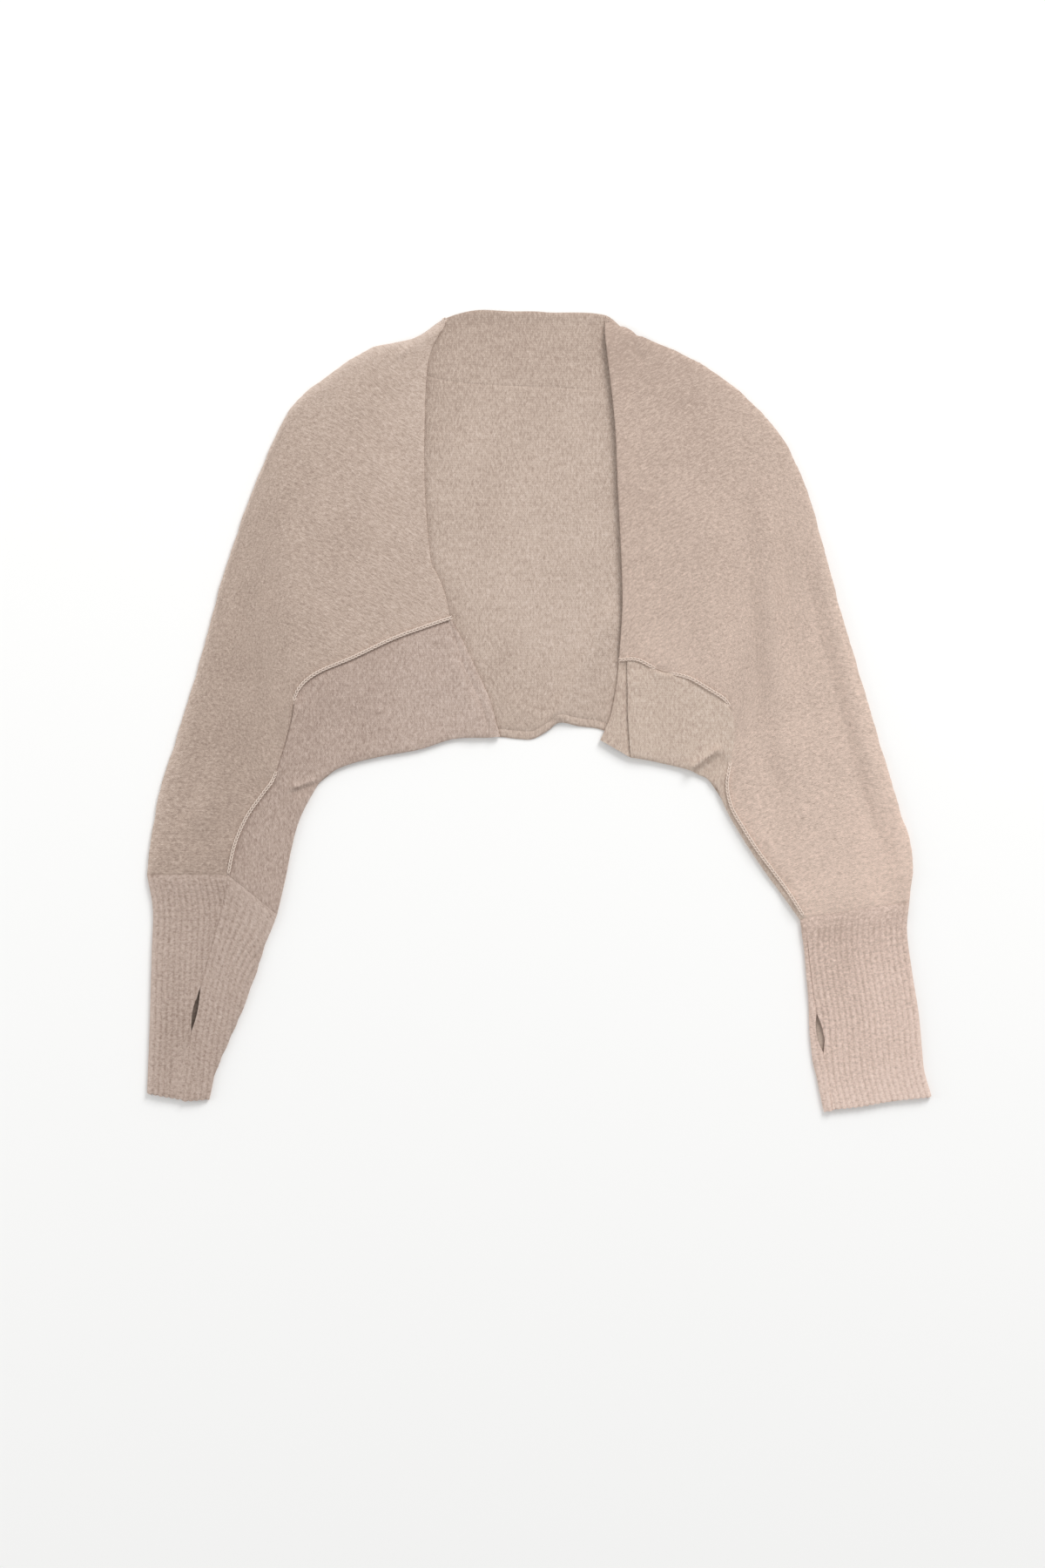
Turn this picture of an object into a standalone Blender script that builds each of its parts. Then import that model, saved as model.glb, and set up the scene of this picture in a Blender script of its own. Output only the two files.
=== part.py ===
"""A knitted shrug laid flat, face up, built as the cloth pieces a maker would cut and sew.

X runs across the garment, Y from hem to neck and Z up from the surface it lies on.
"left" and "right" are as seen from above. Lengths in the tables are millimetres.
"""
import math
from collections import namedtuple

import bpy
import numpy as np

MM = 0.001

# Cloth and seams.
CLOTH = 1.8           # thickness of one layer of knit
SEAM_GAP = 0.3        # space between two neighbouring pieces
RIM = 0.5             # least height left where a folded edge is parted
UPPER_FLOOR = CLOTH + SEAM_GAP           # lowest level of the upper layer
UPPER_TOP = UPPER_FLOOR + CLOTH          # outer level of the upper layer where it lies flat
REST_LIFT = 0.6       # how far the upper layer stands off the lower one, on the whole
MOST_LIFT = 3.3       # and the most it may, so that no hollow reaches 4 mm
SEAM_RIDGE_WIDTH = 3.0
SEAM_RIDGE_RISE = 1.3
BACK_HEM_WIDTH = 7.0
RIB_RISE = 0.8
RIB_PITCH = 4.9
RIB_MARKS = (0.0, 0.25, 0.45, 0.8)       # corners of one rib, in parts of the pitch
RIB_HEIGHTS = (0.0, 0.0, 1.0, 1.0)       # and how high the cloth stands there
RIB_SLIVER = 0.8      # a rib corner nearer than this to the piece's edge is left out
CUFF_LIFT = 0.2
SLIT_HALF_WIDTH = 3.3

# How many sections each layer of a sleeve is drawn with.
UPPER_SECTIONS = 30
SLEEVE_SECTIONS = 22

# Distances from a folded edge at which its round section is drawn.
UPPER_ROLL = (0.0, 0.8, 3.0, 8.0)
UNDER_ROLL = (0.0, 0.6, 2.4)

Fold = namedtuple("Fold", "x0 y0 x1 y1 x2 y2 wide_left wide_right rise fade_start fade_end")

# One row for each section across the sleeve and upper front, from the opening to the cuff.
# Columns: outer fold x, y; exposed seam x, y.
LEFT_UPPER = (
    (-80, 339, -76, 79), (-106, 321, -99, 71), (-150, 308, -126, 61), (-186, 284, -160, 45),
    (-213, 260, -192, 31), (-234, 218, -208, 15), (-252, 173, -213, -9), (-273, 110, -219, -32),
    (-290, 47, -228, -59), (-310, -19, -237, -72), (-326, -70, -251, -92), (-334, -115, -261, -115),
    (-337, -142, -267, -142),
)
RIGHT_UPPER = (
    (57, 340, 69, 43), (82, 325, 85, 43), (107, 313, 104, 34), (141, 297, 128, 28),
    (176, 271, 146, 18), (206, 239, 160, 9), (225, 204, 165, 1), (238, 166, 168, -9),
    (259, 88, 168, -28), (276, 31, 164, -49), (288, -10, 162, -66), (297, -40, 166, -84),
    (305, -67, 175, -100), (312, -90, 187, -119), (319, -111, 201, -138), (322, -135, 215, -157),
    (319, -165, 229, -179),
)
# One row for each section: hem, then the inner fold of the sleeve, x and y.
LEFT_LOWER = (
    (-43, -24), (-73, -25), (-102, -34), (-135, -40), (-160, -46), (-177, -53), (-188, -62),
    (-195, -73), (-202, -86), (-208, -101), (-213, -121), (-218, -146), (-225, -176),
)
RIGHT_LOWER = (
    (79, -41), (92, -43), (106, -46), (119, -49), (130, -52), (138, -56), (143, -58), (147, -61),
    (151, -65), (154, -69), (157, -76), (162, -87), (171, -103), (183, -122), (196, -141),
    (210, -160), (225, -181),
)
# Opening edge of each upper front, from the seam up to the neck, x and y.
LEFT_OPENING = (
    (-76, 79), (-81, 101), (-87, 116), (-93, 131), (-98, 191), (-98, 251), (-96, 292), (-92, 310),
    (-86, 322), (-79, 329), (-80, 338),
)
RIGHT_OPENING = (
    (69, 43), (71, 71), (72, 95), (71, 131), (68, 191), (66, 238), (63, 270), (59, 304), (57, 322),
    (57, 332), (57, 340),
)
# Edge band of each lower front, from the seam to the hem. Columns: edge x, y; inner crease x, y.
LEFT_BAND = (
    (-76, 79, -79, 78), (-66, 61, -71, 58), (-56, 40, -64, 37), (-42, 9, -50, 6),
    (-36, -13, -44, -14), (-33, -23, -43, -24),
)
RIGHT_BAND = (
    (69, 43, 77, 42), (67, 22, 77, 20), (62, -4, 77, -6), (57, -17, 78, -24), (53, -26, 79, -41),
)
# The hem under each edge band, from its edge to its crease, x and y.
LEFT_BAND_HEM = ((-33, -23), (-38, -24), (-43, -24))
RIGHT_BAND_HEM = ((53, -26), (64, -35), (79, -41))
# One row for each section across a cuff. Columns: outer fold x, y; seam x, y; inner fold x, y.
LEFT_CUFF = (
    (-337, -142, -267, -142, -225, -176), (-332, -172, -273, -172, -236, -203),
    (-333, -208, -282, -205, -245, -231), (-334, -243, -291, -239, -256, -260),
    (-335, -278, -299, -277, -267, -285), (-336, -304, -302, -303, -278, -311),
    (-337, -329, -306, -336, -284, -335),
)
RIGHT_CUFF = (
    (319, -165, 229, -179, 225, -181), (317, -190, 232, -206, 229, -206),
    (321, -223, 235, -232, 231, -232), (327, -261, 239, -261, 233, -262),
    (330, -293, 245, -295, 235, -295), (332, -311, 249, -315, 239, -315),
    (338, -332, 253, -344, 246, -345),
)
SLIT_ROWS = (3, 4)    # the sections of a cuff between which its thumb slit opens
# One row for each section of the back, left to right. Columns: hem x, y; top x, y; shoulder
# is 1 where the top is the shoulder fold and 0 where it is the neck seam.
BACK = (
    (-188, -62, -234, 218, 1), (-168, -47, -213, 260, 1), (-145, -38, -186, 284, 1),
    (-120, -34, -150, 308, 1), (-103, -31, -120, 314, 1), (-90, -28, -108, 301, 0),
    (-74, -25, -94, 287, 0), (-40, -23, -60, 281, 0), (-18, -25, -24, 279, 0),
    (-5, -25, -4, 278, 0), (8, -18, 10, 278, 0), (18, -11, 22, 277, 0), (34, -14, 36, 276, 0),
    (54, -17, 52, 275, 0), (70, -26, 64, 283, 0), (86, -33, 76, 303, 0), (104, -39, 92, 317, 1),
    (120, -44, 119, 308, 1), (134, -51, 148, 293, 1), (146, -60, 178, 269, 1),
    (157, -76, 206, 239, 1),
)
# Neck edge above each of the back's rows from NECK_ROWS on, x and y.
NECK_EDGE = (
    (-114, 315), (-98, 325), (-80, 337), (-54, 344), (-24, 343), (-4, 343), (10, 342), (22, 342),
    (36, 342), (50, 341), (61, 338), (74, 327), (87, 320),
)
NECK_ROWS = (4, 16)
LEFT_ARMHOLE = (5, 6)         # rows of the outer and inner fold where the back sleeve starts
RIGHT_ARMHOLE = (5, 10)

# Large folds of the upper layer, from start through a middle point to the end.
UPPER_FOLDS = (
    Fold(173, 240, 176, 86, 170, -40, 13, 13, -1.6, 50, 20),
    Fold(196, 215, 229, 71, 262, -80, 12, 12, 1.3, 60, 60),
    Fold(218, 180, 232, 71, 292, -140, 11, 16, -1.9, 70, 20),
    Fold(193, -35, 207, -95, 211, -160, 8, 9, -1.1, 40, 10),
    Fold(290, -20, 306, -80, 312, -150, 9, 9, 1.2, 40, 10),
    Fold(-240, 130, -280, -26, -312, -110, 10, 14, -0.7, 60, 30),
    Fold(-206, 240, -200, 150, -206, 40, 8, 8, -0.4, 60, 20),
    Fold(56, 336, 66, 191, 70, 30, 14, 34, 2.2, 26, 40),
    Fold(-98, 300, -99, 200, -84, 90, 8, 8, 0.5, 40, 40),
    Fold(-204, 14, -214, -26, -228, -60, 6, 12, 1.2, 14, 14),
    Fold(-186, -68, -196, -66, -208, -68, 7, 7, -0.9, 2, 12),
    Fold(130, -50, 144, -41, 158, -34, 8, 7, 1.4, 2, 10),
    Fold(140, -58, 150, -49, 160, -41, 7, 7, -1.3, 2, 8),
    Fold(86, 36, 86, -2, 88, -42, 9, 14, 1.1, 16, 1),
    Fold(-74, 50, -60, 4, -54, -26, 10, 8, 0.8, 16, 1),
)
# Soft folds of the back that show between the fronts.
BACK_FOLDS = (
    Fold(66, 96, 36, 36, 10, -20, 18, 10, 1.4, 30, 1),
    Fold(-60, 190, -40, 120, -50, 30, 16, 16, 0.5, 50, 40),
)

KNIT_LEFT = (0.47, 0.37, 0.31)
KNIT_MIDDLE = (0.54, 0.44, 0.37)
KNIT_RIGHT = (0.60, 0.47, 0.40)


def clear_scene():
    """Empty the scene of whatever it starts with."""
    for item in list(bpy.data.objects):
        bpy.data.objects.remove(item, do_unlink=True)


def knit_material(name, colour):
    """Matt brushed wool of one shade."""
    material = bpy.data.materials.new(name)
    material.use_nodes = True
    shader = material.node_tree.nodes["Principled BSDF"]
    shader.inputs["Base Color"].default_value = (*colour, 1.0)
    shader.inputs["Roughness"].default_value = 0.95
    shader.inputs["Metallic"].default_value = 0.0
    return material


def through(points, stations):
    """Points of a smooth curve through the rows of a table, at the given row numbers."""
    rows = np.array(points, float)
    last = len(rows) - 1
    ends = np.vstack([2 * rows[0] - rows[1], rows, 2 * rows[-1] - rows[-2]])
    at = np.clip(np.asarray(stations, float), 0, last)
    k = np.minimum(at.astype(int), last - 1)
    t = (at - k)[..., None]
    a, b, c, d = (ends[k + i] for i in range(4))
    return b + 0.5 * t * (c - a + t * (2 * a - 5 * b + 4 * c - d + t * (3 * (b - c) + d - a)))


def even_curve(points, count=200):
    """The same smooth curve as evenly spaced points, as a function of 0 to 1."""
    dense = through(points, np.linspace(0, len(points) - 1, count))
    along = np.r_[0, np.cumsum(np.linalg.norm(np.diff(dense, axis=0), axis=1))]
    along /= along[-1]
    return lambda t: np.stack([np.interp(t, along, dense[:, k]) for k in (0, 1)], axis=-1)


def straight(a, b):
    """The straight line from a to b, as a function of 0 to 1."""
    return lambda t: a + np.asarray(t)[..., None] * (np.asarray(b) - a)


def aside(curve, distance):
    """The curve moved to its left by a distance."""
    tangent = np.gradient(curve, axis=0)
    normal = np.stack([-tangent[:, 1], tangent[:, 0]], axis=1)
    return curve + distance * normal / np.linalg.norm(normal, axis=1)[:, None]


def patch(low, high, start, end, across):
    """A grid between two edges, low and high, whose ends follow the curves start and end.

    low and high hold a point for each column; across says how far up each row lies.
    """
    v = np.broadcast_to(np.asarray(across, float), (len(across), len(low)))[..., None]
    u = np.linspace(0, 1, len(low))[None, :, None]
    plan = low + v * (high - low)
    for curve, column, weight in ((start, 0, 1 - u), (end, -1, u)):
        bend = curve(v[..., 0]) - curve(np.array(0.0)) * (1 - v) - curve(np.array(1.0)) * v
        plan = plan + weight * bend
    return plan


def rows_between(low, high, inner_rows, low_roll=(), high_roll=()):
    """How far up each row of a patch lies, closer together where an edge is rolled."""
    width = np.linalg.norm(high - low, axis=1)
    first = [d / width for d in low_roll[:-1]]
    last = [1 - d / width for d in reversed(high_roll[:-1])]
    a = (low_roll[-1] if low_roll else 0) / width
    b = 1 - (high_roll[-1] if high_roll else 0) / width
    middle = [a + (b - a) * t for t in np.linspace(0, 1, inner_rows)]
    return np.array(first + middle + last)


def edge_distances(rows, low_roll, high_roll):
    """Distance of each row from its rolled edge, or a large one away from it."""
    far = 1e3
    middle = [low_roll[-1] if low_roll else far]
    middle += [far] * (rows - 2)
    middle += [high_roll[-1] if high_roll else far]
    return np.array(list(low_roll[:-1]) + middle + list(reversed(high_roll[:-1])))[:, None]


def round_off(distance, reach):
    """Height of a round edge, from 0 at the edge to 1 where it is reach away."""
    inside = np.clip(1 - distance / reach, 0, 1)
    return np.sqrt(1 - inside ** 2)


def fold_rise(plan, folds):
    """Height that the folds add at each point of a plan."""
    total = np.zeros(plan.shape[:-1])
    for fold in folds:
        t = np.linspace(0, 1, 41)[:, None]
        start, middle, end = (np.array(fold[i:i + 2], float) for i in (0, 2, 4))
        line = (1 - t) * (1 - 2 * t) * start + 4 * t * (1 - t) * middle + t * (2 * t - 1) * end
        tangent = np.gradient(line, axis=0)
        tangent /= np.linalg.norm(tangent, axis=1)[:, None]
        along = np.r_[0, np.cumsum(np.linalg.norm(np.diff(line, axis=0), axis=1))]
        away = plan[..., None, :] - line
        nearest = np.argmin((away ** 2).sum(-1), axis=-1)
        offset = np.take_along_axis(away, nearest[..., None, None], axis=-2)[..., 0, :]
        side = tangent[nearest][..., 0] * offset[..., 1] - tangent[nearest][..., 1] * offset[..., 0]
        width = np.where(side > 0, fold.wide_left, fold.wide_right)
        grown = np.clip((along[nearest] + 1) / fold.fade_start, 0, 1)
        faded = np.clip((along[-1] - along[nearest] + 1) / fold.fade_end, 0, 1)
        ends = np.sin(grown * math.pi / 2) ** 2 * np.sin(faded * math.pi / 2) ** 2
        total += fold.rise * ends * np.exp(-(offset ** 2).sum(-1) / width ** 2)
    return total


def upper_outer(plan):
    """Outer level of the upper layer before its edges are rounded."""
    lift = REST_LIFT + fold_rise(plan, UPPER_FOLDS)
    soft = np.where(lift < 0.3, 0.3 * np.exp((lift - 0.3) / 0.3), lift)
    return UPPER_TOP + np.minimum(soft, MOST_LIFT)


def inset(plan, start=0.0, end=0.0, low=0.0, high=0.0):
    """Draw the sides of a grid in by the given distances."""
    plan = plan.copy()
    sides = ((0, 1, low, 0), (-1, -2, high, 0), (0, 1, start, 1), (-1, -2, end, 1))
    for edge, beside, distance, axis in sides:
        if distance:
            rows = np.moveaxis(plan, axis, 0)
            step = rows[beside] - rows[edge]
            tangent = np.gradient(rows[edge], axis=0)
            length = np.linalg.norm(tangent, axis=1) * np.linalg.norm(step, axis=1)
            sine = np.abs(tangent[:, 0] * step[:, 1] - tangent[:, 1] * step[:, 0]) / length
            unit = step / np.linalg.norm(step, axis=1)[:, None]
            rows[edge] += unit * (distance / np.maximum(sine, 0.5))[:, None]
    return plan


def add_solid(name, vertices, faces, material):
    """One closed mesh, from points in millimetres."""
    mesh = bpy.data.meshes.new(name)
    mesh.from_pydata([tuple(v) for v in np.asarray(vertices) * MM], [], faces)
    mesh.materials.append(material)
    mesh.update()
    solid = bpy.data.objects.new(name, mesh)
    bpy.context.scene.collection.objects.link(solid)
    return solid


def sheet(name, places, top, bottom, faces, material):
    """A closed sheet of cloth: faces seen from above, the same below, and a rim around them."""
    used = np.unique(np.concatenate([np.array(face) for face in faces]))
    number = {int(old): new for new, old in enumerate(used)}
    upper_faces = [tuple(number[int(i)] for i in face) for face in faces]
    upper = np.column_stack([places[used], top[used]])
    lower = np.column_stack([places[used], bottom[used]])
    edges = {}
    for face in upper_faces:
        for p, q in zip(face, face[1:] + face[:1]):
            edges[(p, q)] = True
    count = len(used)
    under_faces = [tuple(i + count for i in reversed(face)) for face in upper_faces]
    rim = [(q, p, p + count, q + count) for p, q in edges if (q, p) not in edges]
    vertices = np.vstack([upper, lower])
    return add_solid(name, vertices, upper_faces + under_faces + rim, material)


def grid_faces(index):
    """The faces of a grid of point numbers, leaving out what is drawn together to nothing."""
    corners = np.stack([index[:-1, :-1], index[:-1, 1:], index[1:, 1:], index[1:, :-1]], axis=-1)
    faces = []
    for corner in corners.reshape(-1, 4).tolist():
        face = tuple(p for p, q in zip(corner, corner[1:] + corner[:1]) if p != q)
        if len(face) > 2:
            faces.append(face)
    return faces


def wall(name, plan, top, bottom, material, index=None):
    """A sheet of cloth over a grid of places, from its lower to its upper level."""
    if index is None:
        index = np.arange(plan.shape[0] * plan.shape[1]).reshape(plan.shape[:2])
    across, up = plan[0, 1] - plan[0, 0], plan[-1, 0] - plan[0, 0]
    if across[0] * up[1] - across[1] * up[0] < 0:
        index = index[::-1]
    top, bottom = np.broadcast_to(top, plan.shape[:2]), np.broadcast_to(bottom, plan.shape[:2])
    faces = grid_faces(index)
    return sheet(name, plan.reshape(-1, 2), top.ravel(), bottom.ravel(), faces, material)


def upper_wall(name, plan, material, distance=None, reach=UPPER_ROLL[-1], rise=0.0):
    """A piece of the upper layer, lifted by the folds and rounded at its folded edges."""
    outer = upper_outer(plan) + rise
    under = np.maximum(UPPER_FLOOR, outer - CLOTH)
    if distance is not None:
        low = UPPER_FLOOR + RIM
        outer = low + (outer - low) * round_off(distance, reach)
        under = np.maximum(UPPER_FLOOR, np.minimum(under, outer - CLOTH))
    return wall(name, plan, outer, under, material)


def under_wall(name, plan, material, distance=None, reach=UNDER_ROLL[-1]):
    """A piece of the lower layer: flat below, rounded up at its folded edges."""
    top = CLOTH + fold_rise(plan, BACK_FOLDS)
    bottom = np.maximum(0.0, top - CLOTH - 0.4)
    if distance is not None:
        bottom = np.maximum(bottom, (CLOTH - RIM) * (1 - round_off(distance, reach)))
    return wall(name, plan, top, bottom, material)


def build_upper(side, upper, lower, opening, band, band_hem, band_start, material):
    """The upper front with its sleeve, the lower front, the seam between and the edge band."""
    last = len(upper) - 1
    outer_rows = [row[:2] for row in upper]
    seam_rows = [row[2:] for row in upper]
    stations = np.r_[0, np.linspace(band_start, last, UPPER_SECTIONS)]
    outer = through(outer_rows, stations)
    seam = through(seam_rows, stations)
    clear = SEAM_RIDGE_WIDTH / 2 + SEAM_GAP
    turn = 1 if side == "right" else -1
    low = aside(seam, turn * clear)
    v = rows_between(low, outer, 13, (), UPPER_ROLL)
    plan = patch(low, outer, even_curve(opening), straight(low[-1], outer[-1]), v)
    plan = inset(plan, end=SEAM_GAP / 2)
    distance = edge_distances(13, (), UPPER_ROLL)
    upper_wall(f"front_sleeve_{side}", plan, material, distance)

    seam = seam[1:]
    high = aside(seam, -turn * clear)
    hem = through(lower, np.linspace(0, last, len(seam)))
    crease_curve = even_curve([row[2:] for row in band][::-1])
    roll = UPPER_ROLL[:3]
    v = rows_between(hem, high, 7, roll, ())
    plan = patch(hem, high, crease_curve, straight(hem[-1], high[-1]), v)
    crease = plan[:, 0]
    edge = even_curve([row[:2] for row in band][::-1])(v[:, 0])
    plan = inset(plan, start=SEAM_GAP / 2, end=SEAM_GAP / 2)
    distance = edge_distances(7, roll, ())
    upper_wall(f"lower_front_{side}", plan, material, distance, roll[-1])

    build_seam_ridge(side, through(seam_rows, stations), material)
    build_edge_band(side, edge, crease, band_hem, material)


def build_seam_ridge(side, seam, material):
    """The exposed seam: its allowances stand up between the two panels it joins."""
    offsets = np.array([-1.0, -0.55, 0.1, 0.65, 1.0]) * SEAM_RIDGE_WIDTH / 2
    crown = np.array([0.25, 0.9, 0.6, 1.0, 0.3])[:, None] * SEAM_RIDGE_RISE
    plan = np.stack([aside(seam, offset) for offset in offsets])
    plan = inset(plan, start=2 * SEAM_GAP, end=SEAM_GAP / 2)
    level = upper_outer(plan)
    top = level + crown
    bottom = np.maximum(UPPER_FLOOR, level - CLOTH)
    wall(f"seam_ridge_{side}", plan, top, bottom, material)


def build_edge_band(side, edge, crease, hem, material):
    """The narrow band along the front edge below the seam, from the hem up."""
    v = np.array([0.0, 0.2, 0.6, 1.0])[:, None]
    plan = patch(edge, crease, even_curve(hem), straight(edge[-1], crease[-1]), v)
    plan = inset(plan, end=SEAM_RIDGE_WIDTH / 2 + SEAM_GAP, high=SEAM_GAP / 2)
    level = upper_outer(plan) - np.array([0.5, 0.0, 0.0, 0.4])[:, None]
    wall(f"edge_band_{side}", plan, level, np.maximum(UPPER_FLOOR, level - CLOTH), material)


def rib_profile(position):
    """Height of the ribbing, from 0 to 1, at a distance counted in ribs."""
    return np.interp(np.mod(position, 1.0), [*RIB_MARKS, 1.0], [*RIB_HEIGHTS, RIB_HEIGHTS[0]])


def ribbed_wall(name, guide, limit, begin, folded_side, material):
    """A ribbed piece with its ribs beside the guide line, from begin to where they meet the limit."""
    width = np.linalg.norm(limit - guide, axis=1)[:, None]
    begin = np.broadcast_to(begin, width.shape)
    direction = (limit - guide) / width
    ribs = int(width.max() / RIB_PITCH) + 2
    marks = np.add.outer(np.arange(ribs), RIB_MARKS).ravel()
    across = np.broadcast_to(marks * RIB_PITCH, (len(guide), len(marks)))
    before = across < begin + RIB_SLIVER
    beyond = across > width - RIB_SLIVER
    across = np.where(before, begin, np.where(beyond, width, across))
    plan = guide[:, None] + direction[:, None] * across[..., None]
    first = before.sum(axis=1)[:, None] - 1
    columns = np.clip(np.arange(len(marks)), first, np.argmax(beyond, axis=1)[:, None])
    index = np.arange(len(guide))[:, None] * len(marks) + columns
    reach = np.minimum(UPPER_ROLL[2], 0.8 * width)
    distance = across if folded_side == "guide" else width - across
    low = UPPER_FLOOR + RIM
    full = UPPER_TOP + CUFF_LIFT + RIB_RISE * rib_profile(marks)
    outer = low + (full - low) * round_off(distance, reach)
    return wall(name, plan, outer, UPPER_FLOOR, material, index)


def slit_opening(stations):
    """Half of the gap along a cuff's seam: the seam gap, opened out at the thumb slit."""
    first, last = SLIT_ROWS
    part = np.clip((stations - first) / (last - first), 0, 1)
    return SEAM_GAP / 2 + SLIT_HALF_WIDTH * np.sin(math.pi * part)


def build_cuff(side, cuff, material):
    """The ribbed cuff: its upper layer in two pieces with the thumb slit between, and its back."""
    stations = np.linspace(0.008, len(cuff) - 1, 19)
    outer, seam, inner = (through([row[i:i + 2] for row in cuff], stations) for i in (0, 2, 4))
    toward = (outer - seam) / np.linalg.norm(outer - seam, axis=1)[:, None]
    gap = slit_opening(stations)[:, None]
    ribbed_wall(f"cuff_front_{side}", outer, seam + toward * gap, 0.0, "guide", material)
    ribbed_wall(f"cuff_thumb_{side}", seam, inner, gap, "limit", material)
    v = rows_between(outer, inner, 5, UNDER_ROLL, UNDER_ROLL)
    plan = patch(outer, inner, straight(outer[0], inner[0]), straight(outer[-1], inner[-1]), v)
    under_wall(f"cuff_back_{side}", plan, material, edge_distances(5, UNDER_ROLL, UNDER_ROLL))


def build_back_sleeve(side, upper, lower, armhole, material):
    """The lower layer of a sleeve, from the hidden armhole seam to the cuff."""
    last = len(upper) - 1
    outer = through([row[:2] for row in upper], np.linspace(armhole[0], last, SLEEVE_SECTIONS))
    inner = through(lower, np.linspace(armhole[1], last, SLEEVE_SECTIONS))
    v = rows_between(outer, inner, 5, UNDER_ROLL, UNDER_ROLL)
    plan = patch(outer, inner, straight(outer[0], inner[0]), straight(outer[-1], inner[-1]), v)
    plan = inset(plan, start=SEAM_GAP / 2, end=SEAM_GAP / 2)
    distance = edge_distances(5, UNDER_ROLL, UNDER_ROLL)
    under_wall(f"back_sleeve_{side}", plan, material, distance)


def build_back(material):
    """The back, its neck band and its narrow hem band."""
    stations = np.linspace(0, len(BACK) - 1, 2 * len(BACK) - 1)
    hem = through([row[:2] for row in BACK], stations)
    top = through([row[2:4] for row in BACK], stations)
    seam = inset(np.stack([hem, top]), low=BACK_HEM_WIDTH)[0]
    v = rows_between(seam, top, 15, (), UNDER_ROLL)
    plan = patch(seam, top, straight(seam[0], top[0]), straight(seam[-1], top[-1]), v)
    plan = inset(plan, start=SEAM_GAP / 2, end=SEAM_GAP / 2, low=SEAM_GAP / 2, high=SEAM_GAP / 2)
    folded = np.interp(stations, range(len(BACK)), [row[4] for row in BACK])
    distance = edge_distances(15, (), UNDER_ROLL) + (1 - folded) * UNDER_ROLL[-1]
    under_wall("back_panel", plan, material, distance)

    plan = hem + np.array([0.0, 0.5, 1.0])[:, None, None] * (seam - hem)
    plan = inset(plan, start=SEAM_GAP / 2, end=SEAM_GAP / 2, high=SEAM_GAP / 2)
    under_wall("back_hem_band", plan, material)

    at_neck = (stations >= NECK_ROWS[0]) & (stations <= NECK_ROWS[1])
    seam = top[at_neck]
    edge = through(NECK_EDGE, stations[at_neck] - NECK_ROWS[0])
    v = np.array([0.0, 0.35, 0.7, 0.955, 0.99, 1.0])[:, None]
    plan = patch(seam, edge, straight(seam[0], edge[0]), straight(seam[-1], edge[-1]), v)
    plan = inset(plan, start=SEAM_GAP, end=SEAM_GAP, low=SEAM_GAP / 2)
    distance = np.array([9.0, 9.0, 9.0, UNDER_ROLL[2], UNDER_ROLL[1], 0.0])[:, None]
    under_wall("back_neck_band", plan, material, distance)


def main():
    """Build every piece."""
    clear_scene()
    left = knit_material("wool_left", KNIT_LEFT)
    right = knit_material("wool_right", KNIT_RIGHT)
    middle = knit_material("wool_back", KNIT_MIDDLE)
    build_upper("left", LEFT_UPPER, LEFT_LOWER, LEFT_OPENING, LEFT_BAND, LEFT_BAND_HEM,
                0.12, left)
    build_upper("right", RIGHT_UPPER, RIGHT_LOWER, RIGHT_OPENING, RIGHT_BAND,
                RIGHT_BAND_HEM, 0.45, right)
    build_cuff("left", LEFT_CUFF, left)
    build_cuff("right", RIGHT_CUFF, right)
    build_back_sleeve("left", LEFT_UPPER, LEFT_LOWER, LEFT_ARMHOLE, left)
    build_back_sleeve("right", RIGHT_UPPER, RIGHT_LOWER, RIGHT_ARMHOLE, right)
    build_back(middle)


main()
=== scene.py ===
import math
from collections import namedtuple

import bmesh
import bpy
import numpy as np
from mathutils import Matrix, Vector


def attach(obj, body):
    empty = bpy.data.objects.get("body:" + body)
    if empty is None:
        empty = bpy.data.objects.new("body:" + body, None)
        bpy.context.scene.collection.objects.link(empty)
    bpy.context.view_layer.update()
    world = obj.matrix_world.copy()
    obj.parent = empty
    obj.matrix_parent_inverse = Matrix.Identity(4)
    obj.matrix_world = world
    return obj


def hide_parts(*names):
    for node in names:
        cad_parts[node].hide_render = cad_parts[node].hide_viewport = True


# A knitted shrug laid flat, face up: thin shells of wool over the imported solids, with its
# ribbing, exposed seams and soft folds. Lengths in the tables and functions are millimetres.
# X runs across the garment, Y from hem to neck and Z up; "left" and "right" are as seen.
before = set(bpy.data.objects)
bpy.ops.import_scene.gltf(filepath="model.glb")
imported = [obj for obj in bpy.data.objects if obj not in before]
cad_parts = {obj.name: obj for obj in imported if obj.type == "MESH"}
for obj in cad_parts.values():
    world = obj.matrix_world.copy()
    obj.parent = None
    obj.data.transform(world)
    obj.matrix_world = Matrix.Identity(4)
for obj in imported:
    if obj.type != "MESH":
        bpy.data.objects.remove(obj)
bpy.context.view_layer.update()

MM = 0.001

# Layers of cloth, the same as in the solids.
CLOTH = 1.8           # one layer of knit
SEAM_GAP = 0.3
UPPER_FLOOR = CLOTH + SEAM_GAP           # lowest level of the upper layer
UPPER_TOP = UPPER_FLOOR + CLOTH          # its outer level where it lies flat
SEAM_RIDGE_WIDTH = 3.4
BACK_HEM_WIDTH = 7.0
RIB_PITCH = 4.9
RIB_RISE = 0.85
CUFF_LIFT = 0.5
SLIT_HALF_WIDTH = {"left": 2.2, "right": 3.3}

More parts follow.
